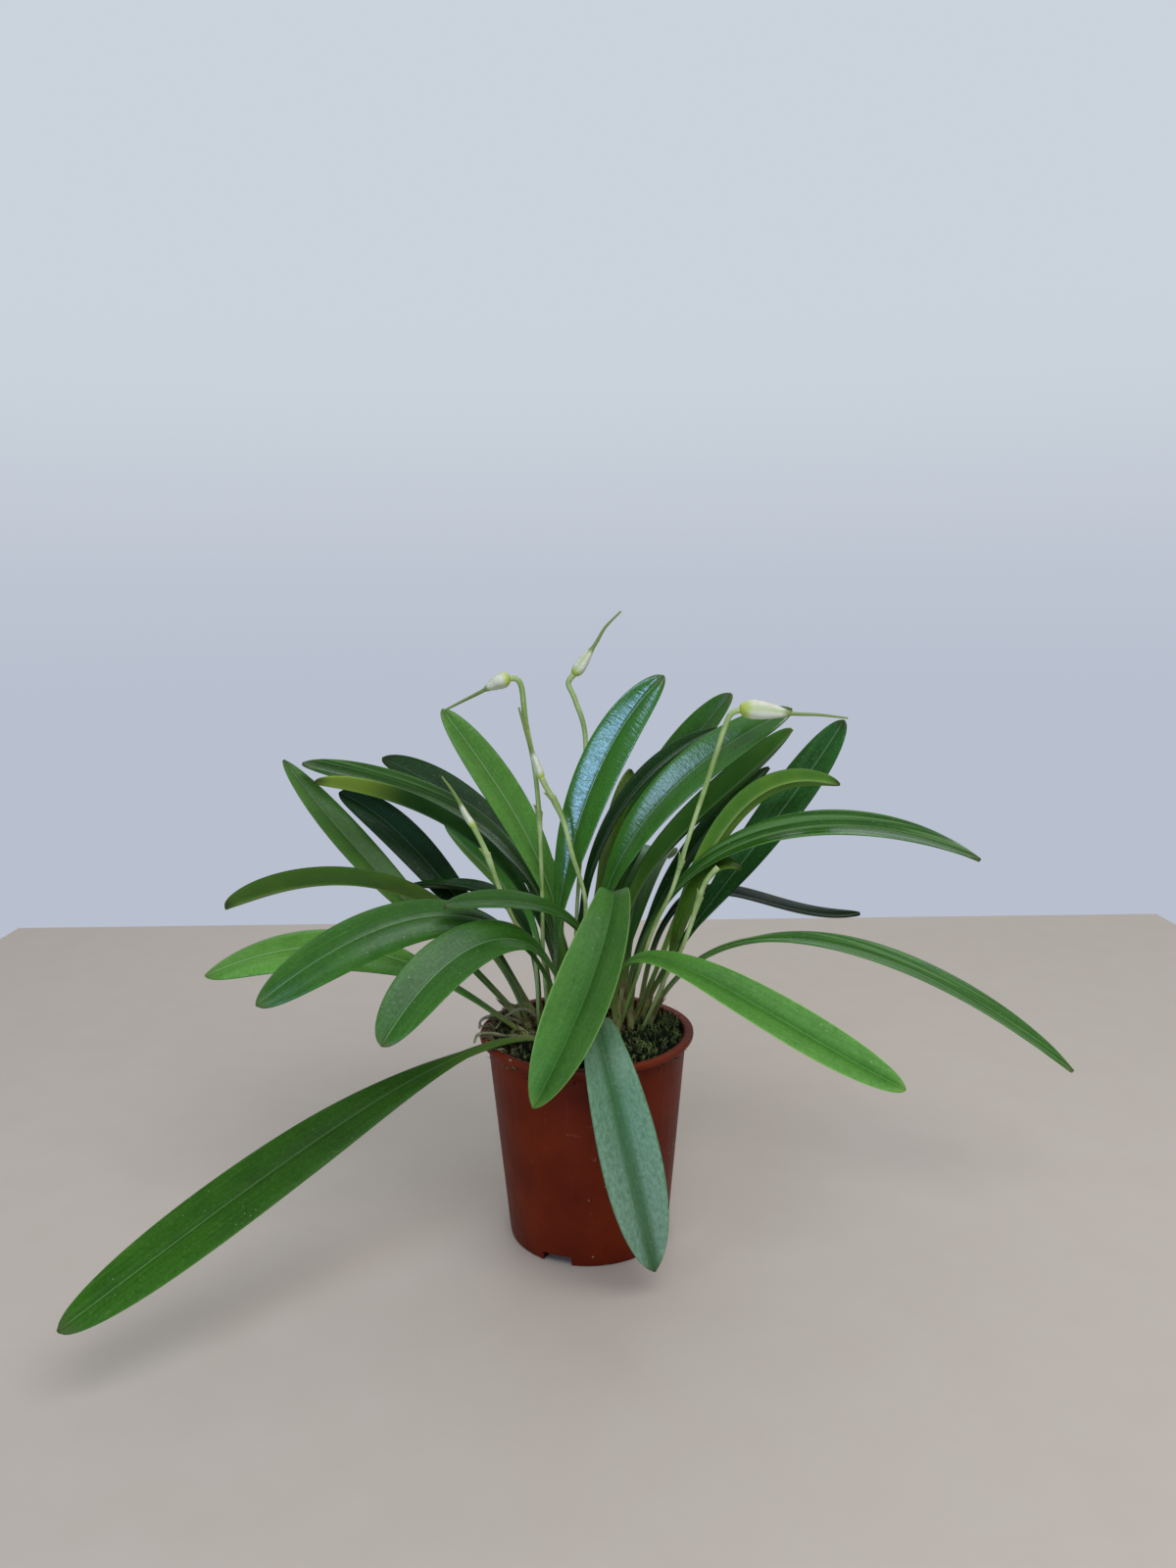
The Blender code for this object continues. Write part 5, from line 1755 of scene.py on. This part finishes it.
    def sheath(self, leaf: Leaf, order: int) -> Surface:
        """A papery sheath round a stalk's foot: a thin shell whose mouth is cut aslant and ragged.

        Its height follows the cosine of the turn round the stalk, plus two finer sines for the ragged edge.

        Args:
            leaf: The leaf.
            order: Its place in the table, which sets the length and shifts the raggedness.

        Returns:
            The shell, with the values that its finish reads.
        """
        line, angle = self.midrib(leaf, 400), angles_round(self.sheath_sides)
        run = distances(line)
        ragged = (0.8 + 0.2 * np.cos(angle + order) + 0.06 * np.sin(5 * angle + 2 * order)
                  + 0.04 * np.sin(11 * angle))
        share = np.linspace(0.0, 1.0, self.sheath_steps)[:, None]
        length = 7.0 + 2.2 * ((3 * order) % 5)
        centre = between(np.clip(share * length * ragged[None, :], 0.0, run[-1]), run, line)
        along, flat = unit(line[5] - line[0]), self.level_side(line)
        across = unit(flat - (along @ flat) * along)
        flare = 0.35 * share**3 * (0.5 + 0.5 * np.cos(angle + order))[None, :]
        grow = 0.12 * np.sin(math.pi * share) + flare
        wide, deep = self.sheath_reach
        shell = thin_shell(centre, across, np.cross(across, along), (wide + grow, deep + grow),
                           self.sheath_wall, share)
        # The rings run the other way round here, so the triangles are turned
        shell.faces = shell.faces[:, ::-1]
        return shell

    def build(self) -> None:
        """Make every leaf, and the sheaths as one piece."""
        finishes = {kind: kind.value.build() for kind in Tint}
        for order, leaf in enumerate(self.leaves):
            piece = leaf.name.replace("leaf_", "blade_")
            self.surface(leaf, order).place(piece, finishes[leaf.tint], leaf.tint.value.slot, (leaf.name,))
        sheaths = [self.sheath(leaf, order) for order, leaf in enumerate(self.leaves)]
        Surface.join(sheaths).place("sheaths", SheathFinish().build(), "potting_mix")


# Flower stems and buds


@dataclass(frozen=True)
class Stem:
    """A flower stem through points, from the filling to its neck, with a bract at a share of its length."""

    name: str
    points: tuple[Point, ...]
    bract: float = 0.6


@dataclass(frozen=True)
class Bud:
    """A bud on its stem's neck: the points of its axis, the belly's radius and the body's length."""

    name: str
    stem: str
    points: tuple[Point, ...]
    belly: float
    body: float


@dataclass
class Flowering:
    """The flower stems with their bracts, and the buds with their tails."""

    low_radius: float = 0.82
    high_radius: float = 1.12
    stalk_depth: float = 5.0
    steps: int = 120
    sides: int = 16
    bract_steps: int = 16
    bract_sides: int = 24
    bract_reach: float = 7.5
    bract_radius: float = 1.12
    bract_wall: float = 0.16
    bud_steps: int = 110
    bud_sides: int = 48
    lobe: float = 0.07
    tail_radius: float = 0.85
    tail_end: float = 0.38
    neck_overlap: float = 0.3
    neck_lead: float = 5.0
    stems: tuple[Stem, ...] = (
        Stem("stem_left", ((-16, 5.5, 85), (-18, 4, 118), (-18, 2.5, 150), (-18.5, 0, 182), (-20, -1.5, 202),
                           (-23, -3, 220), (-24.2, -3, 233), (-26, -3, 237.4), (-29.2, -3, 237.8)), 0.62),
        Stem("stem_young", ((0, 9, 85), (-1, 5, 122), (0, 0.3, 145), (-5, -3.2, 165), (-8, -3.5, 178),
                            (-11.5, -4, 187), (-15, -5.5, 193.5), (-17, -6, 198)), 0.9),
        Stem("stem_top", ((-5.5, 22, 85), (-4, 22, 130), (-1, 22, 170), (1, 22, 209), (-3, 22, 226),
                          (-6, 22, 233.5), (-3.5, 22, 237.5)), 0.7),
        Stem("stem_right", ((13.5, 7, 85), (22, 3.5, 112), (29, 0, 134), (36, -3.5, 150), (43, -6, 174),
                            (51, -7, 199), (57, -7, 218), (59.5, -7, 223), (63, -7, 224.5)), 0.55),
        Stem("stem_slender", ((-20.5, 6.5, 85), (-22, 5, 120), (-30, 3, 136), (-35.5, 3, 149), (-41, 4, 165),
                              (-46, 4.5, 176)), 0.85),
        Stem("young_shoot", ((23, 4, 85), (34, 0.5, 112), (41, -3, 127), (48, -6, 150), (51, -6.5, 156),
                             (54.5, -6.5, 160)), 0.8),
    )
    buds: tuple[Bud, ...] = (
        Bud("bud_left", "stem_left", ((-32.6, -3, 236.9), (-36, -2.6, 235.3), (-41, -2, 232.5),
                                      (-49, 0, 228.5), (-57, 1.5, 224.5)), 2.9, 11.5),
        Bud("bud_young", "stem_young", ((-19, -6, 204), (-21, -6, 210), (-23, -6, 217), (-25.5, -6, 226.5)),
            1.5, 12),
        Bud("bud_top", "stem_top", ((-0.5, 22, 241), (2.5, 22, 245.5), (6, 22, 250.5), (10, 22, 257),
                                    (16.5, 22, 263.5)), 2.4, 14),
        Bud("bud_right", "stem_right", ((67, -7, 224.4), (75, -7, 223.6), (84, -7, 222.6), (95, -7, 222),
                                        (106, -7, 220.6)), 3.6, 21),
        Bud("bud_slender", "stem_slender", ((-49, 4.5, 181), (-52, 4.7, 187), (-55, 5, 192), (-58.5, 5, 197)),
            1.3, 12),
    )

    def stem_line(self, stem: Stem) -> np.ndarray:
        """A stem's middle line, from its foot below the filling's surface to its neck.

        Args:
            stem: The stem.

        Returns:
            Points, one a row.
        """
        curve = smooth_line(np.array(stem.points))
        foot = curve[0] - unit(curve[1] - curve[0]) * self.stalk_depth
        return spaced(np.vstack([foot, curve]), np.linspace(0.0, 1.0, self.steps))

    def stem_surface(self, stem: Stem) -> Surface:
        """A stem: its radius grows slowly upwards, with a soft swelling at the bract and at the neck.

        Args:
            stem: The stem.

        Returns:
            The closed surface, with the values that its finish reads.
        """
        line = self.stem_line(stem)
        share = np.linspace(0.0, 1.0, self.steps)
        radius = self.low_radius + (self.high_radius - self.low_radius) * ease(share, 0.35, 1.0)
        radius = radius * (1.0 + 0.28 * bell(share - stem.bract, 0.035) + 0.10 * bell(share - 1.0, 0.03))
        return Surface.of_rings(tube(line, radius, self.sides), along=share[:, None],
                                turn=angles_round(self.sides))

    def bract(self, stem: Stem) -> Surface:
        """A bract: a thin shell round the stem, narrow at its foot, that opens in a point at one side.

        Args:
            stem: The stem that carries it.

        Returns:
            The shell, with rings up outside and back down inside.
        """
        line, angle = self.stem_line(stem), angles_round(self.bract_sides)
        run = distances(line)
        share = np.linspace(0.0, 1.0, self.bract_steps)[:, None]
        tall = self.bract_reach * (0.55 + 0.45 * (0.5 + 0.5 * np.cos(angle)) ** 2)[None, :]
        centre = between(np.clip(stem.bract * run[-1] - 1.5 + share * tall, 0.0, run[-1]), run, line)
        near = int(stem.bract * (self.steps - 1))
        along = unit(line[near + 1] - line[near - 1])
        across = unit(np.cross(along, BACK))
        radius = self.bract_radius + 0.75 * share**1.4 + 0.25 * share**3 * np.cos(angle)[None, :]
        return thin_shell(centre, across, np.cross(along, across), (radius, radius), self.bract_wall, share)

    def bud_surface(self, bud: Bud) -> Surface:
        """A bud: a three-lobed body that swells and tapers in a slim tail.

        Along the body the radius grows by a power of a sine from the tail's to the belly's. A low bell makes
        the chin under its foot, and a cosine of three times the turn makes the lobes.

        Args:
            bud: The bud.

        Returns:
            The bud's surface, with the values that its finish reads.
        """
        stem = self.stem_line(next(stem for stem in self.stems if stem.name == bud.stem))
        lead = unit(stem[-1] - stem[-2])
        neck = stem[-1] - lead * self.neck_overlap
        curve = smooth_line(np.array([neck, *bud.points]), neck - lead * self.neck_lead)
        line = spaced(curve, np.linspace(0.0, 1.0, self.bud_steps))
        run = np.linspace(0.0, np.linalg.norm(np.diff(curve, axis=0), axis=1).sum(), self.bud_steps)
        x = np.clip(run / bud.body, 0.0, 1.0)
        swell = np.where(x < 1.0, np.sin(math.pi * x**0.62) ** 0.9, 0.0)
        slim = np.interp(run, [0.0, 0.85 * bud.body, run[-1]], [1.05, self.tail_radius, self.tail_end])
        angle = angles_round(self.bud_sides)
        lobes = 1.0 + self.lobe * np.cos(3 * angle)[None, :] * ease(x, 0.05, 0.4)[:, None]
        seams = -0.10 * bell(((angle + math.pi / 3) % (2 * math.pi / 3) - math.pi / 3), 0.10)
        chin = 0.16 * bud.belly * bell(x - 0.2, 0.14)[:, None] * (0.5 - 0.5 * np.sin(angle))[None, :]
        radius = (slim + (bud.belly - self.tail_radius) * swell)[:, None] * lobes + chin
        radius = radius + seams[None, :] * swell[:, None]
        return Surface.of_rings(tube(line, radius, self.bud_sides), share=x[:, None],
                                rib=0.5 + 0.5 * np.cos(3 * angle + math.pi),
                                tail=ease(x, 0.72, 1.0)[:, None])

    def build(self) -> None:
        """Make the stems, the bracts as one piece, and the buds."""
        tender = StemFinish().build()
        for stem in self.stems:
            piece = stem.name.replace("stem_", "flower_stem_").replace("young_shoot", "flower_shoot")
            self.stem_surface(stem).place(piece, tender, "stem", (stem.name,))
        Surface.join([self.bract(stem) for stem in self.stems]).place("bracts", tender, "stem")
        petals = BudFinish().build()
        for bud in self.buds:
            self.bud_surface(bud).place(bud.name.replace("bud_", "flower_bud_"), petals, "bud", (bud.name,))


# Studio


@dataclass(frozen=True)
class Panel:
    """A soft panel light, in metres and watts; its target is a height over the pot's middle."""

    name: str
    place: Point
    target: float
    size: tuple[float, float]
    power: float
    colour: Colour

    def hang(self) -> None:
        """Make the light and turn it to its target."""
        data = bpy.data.lights.new(self.name, "AREA")
        data.shape, data.energy, data.color = "RECTANGLE", self.power, self.colour[:3]
        data.size, data.size_y = self.size
        lamp = bpy.data.objects.new(self.name, data)
        lamp.location = self.place
        facing = Vector((0.0, 0.0, self.target)) - Vector(self.place)
        lamp.rotation_euler = facing.to_track_quat("-Z", "Y").to_euler()
        bpy.context.scene.collection.objects.link(lamp)


@dataclass
class Studio:
    """Plain pale floor, soft light and the camera at the photograph's angle."""

    floor_size: float = 0.95
    camera_place: Point = (0.0018, -0.4752, 0.2723)
    camera_down: float = 9.35
    camera_roll: float = -0.71
    camera_lens: float = 27.0
    sensor: float = 36.0
    sky: Colour = tint(236, 242, 250)
    low_backdrop: Colour = tint(184, 191, 206)
    high_backdrop: Colour = tint(203, 211, 220)
    ground: Colour = tint(212, 198, 182)
    ground_patches: Colour = tint(206, 191, 174)
    panels: tuple[Panel, ...] = (
        Panel("sky_panel", (0.32, -0.72, 1.12), 0.12, (1.0, 0.7), 8.6, tint(240, 246, 255)),
        Panel("side_panel", (-0.68, -1.00, 0.66), 0.19, (0.36, 0.36), 2.6, tint(180, 208, 255)),
        Panel("low_panel", (-0.24, -0.90, 0.01), 0.20, (0.28, 0.19), 2.1, tint(160, 200, 255)),
        Panel("back_panel", (0.30, 1.15, 1.00), 0.16, (2.4, 0.5), 4.5, tint(232, 240, 255)),
    )

    def floor(self) -> None:
        """Lay a plain square floor under the pot."""
        reach = self.floor_size / 2
        corners = [(-reach, -reach, 0), (reach, -reach, 0), (reach, reach, 0), (-reach, reach, 0)]
        mesh = bpy.data.meshes.new("floor")
        mesh.from_pydata(corners, [], [(0, 1, 2, 3)])
        floor = bpy.data.objects.new("floor", mesh)
        bpy.context.scene.collection.objects.link(floor)
        tree = Tree("floor")
        grain = tree.noise(tree.place, 40.0, 3.0)
        tree.shade(Base_Color=tree.mix(grain, self.ground, self.ground_patches), Roughness=0.6)
        mesh.materials.append(tree.material)

    def sky_dome(self) -> None:
        """Surround the plant: an even pale backdrop to look at, and a soft light from above and behind."""
        world = bpy.data.worlds.new("sky")
        world.use_nodes = True
        nodes, links = world.node_tree.nodes, world.node_tree.links
        split = nodes.new("ShaderNodeSeparateXYZ")
        links.new(nodes.new("ShaderNodeTexCoord").outputs["Generated"], split.inputs[0])

        def rise(axis: int, low: float, high: float, start: float, end: float) -> bpy.types.NodeSocket:
            """Map one of the looking direction's numbers smoothly.

            Args:
                axis: Which of the three numbers.
                low: Where the rise starts.
                high: Where it ends.
                start: The result at low.
                end: The result at high.

            Returns:
                The mapped number.
            """
            node = nodes.new("ShaderNodeMapRange")
            node.interpolation_type = "SMOOTHSTEP"
            links.new(split.outputs[axis], node.inputs[0])
            for key, item in enumerate((low, high, start, end), 1):
                node.inputs[key].default_value = item
            return node.outputs[0]

        backdrop = nodes["Background"]
        wall = nodes.new("ShaderNodeMix")
        wall.data_type = "RGBA"
        links.new(rise(2, -0.1, 0.22, 0.0, 1.0), wall.inputs[0])
        wall.inputs[6].default_value = self.low_backdrop
        wall.inputs[7].default_value = self.high_backdrop
        links.new(wall.outputs[2], backdrop.inputs["Color"])
        dome = nodes.new("ShaderNodeBackground")
        dome.inputs["Color"].default_value = self.sky
        total = nodes.new("ShaderNodeMath")
        links.new(rise(2, 0.1, 0.9, 0.06, 0.40), total.inputs[0])
        links.new(rise(1, -0.15, 0.6, 0.0, 0.30), total.inputs[1])
        links.new(total.outputs[0], dome.inputs["Strength"])
        choice = nodes.new("ShaderNodeMixShader")
        links.new(nodes.new("ShaderNodeLightPath").outputs["Is Camera Ray"], choice.inputs[0])
        links.new(dome.outputs[0], choice.inputs[1])
        links.new(backdrop.outputs[0], choice.inputs[2])
        links.new(choice.outputs[0], nodes["World Output"].inputs["Surface"])
        bpy.context.scene.world = world

    def camera(self) -> None:
        """Set up the camera: turned up from straight down, then rolled about its own axis."""
        data = bpy.data.cameras.new("camera")
        data.sensor_width, data.lens = self.sensor, self.camera_lens
        data.clip_start, data.clip_end = 0.01, 50.0
        camera = bpy.data.objects.new("camera", data)
        tilt = Matrix.Rotation(math.radians(90.0 - self.camera_down), 4, "X")
        roll = Matrix.Rotation(math.radians(self.camera_roll), 4, "Z")
        camera.matrix_world = Matrix.Translation(self.camera_place) @ tilt @ roll
        bpy.context.scene.collection.objects.link(camera)
        bpy.context.scene.camera = camera

    def build(self) -> None:
        """Set up the floor, the lights, the sky and the camera."""
        self.floor()
        self.sky_dome()
        for panel in self.panels:
            panel.hang()
        bpy.context.scene.view_settings.view_transform = "Standard"
        self.camera()


def main() -> None:
    """Build the dressed plant in order, and log each part as it is built."""
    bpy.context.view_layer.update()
    pot = Pot()
    filling = Filling(pot)
    for part in (Studio(), pot, filling, Moss(filling), Litter(filling), Foliage(), Flowering()):
        part.build()
        LOG.info("built %s", type(part).__name__)


if __name__ == "__main__":
    main()
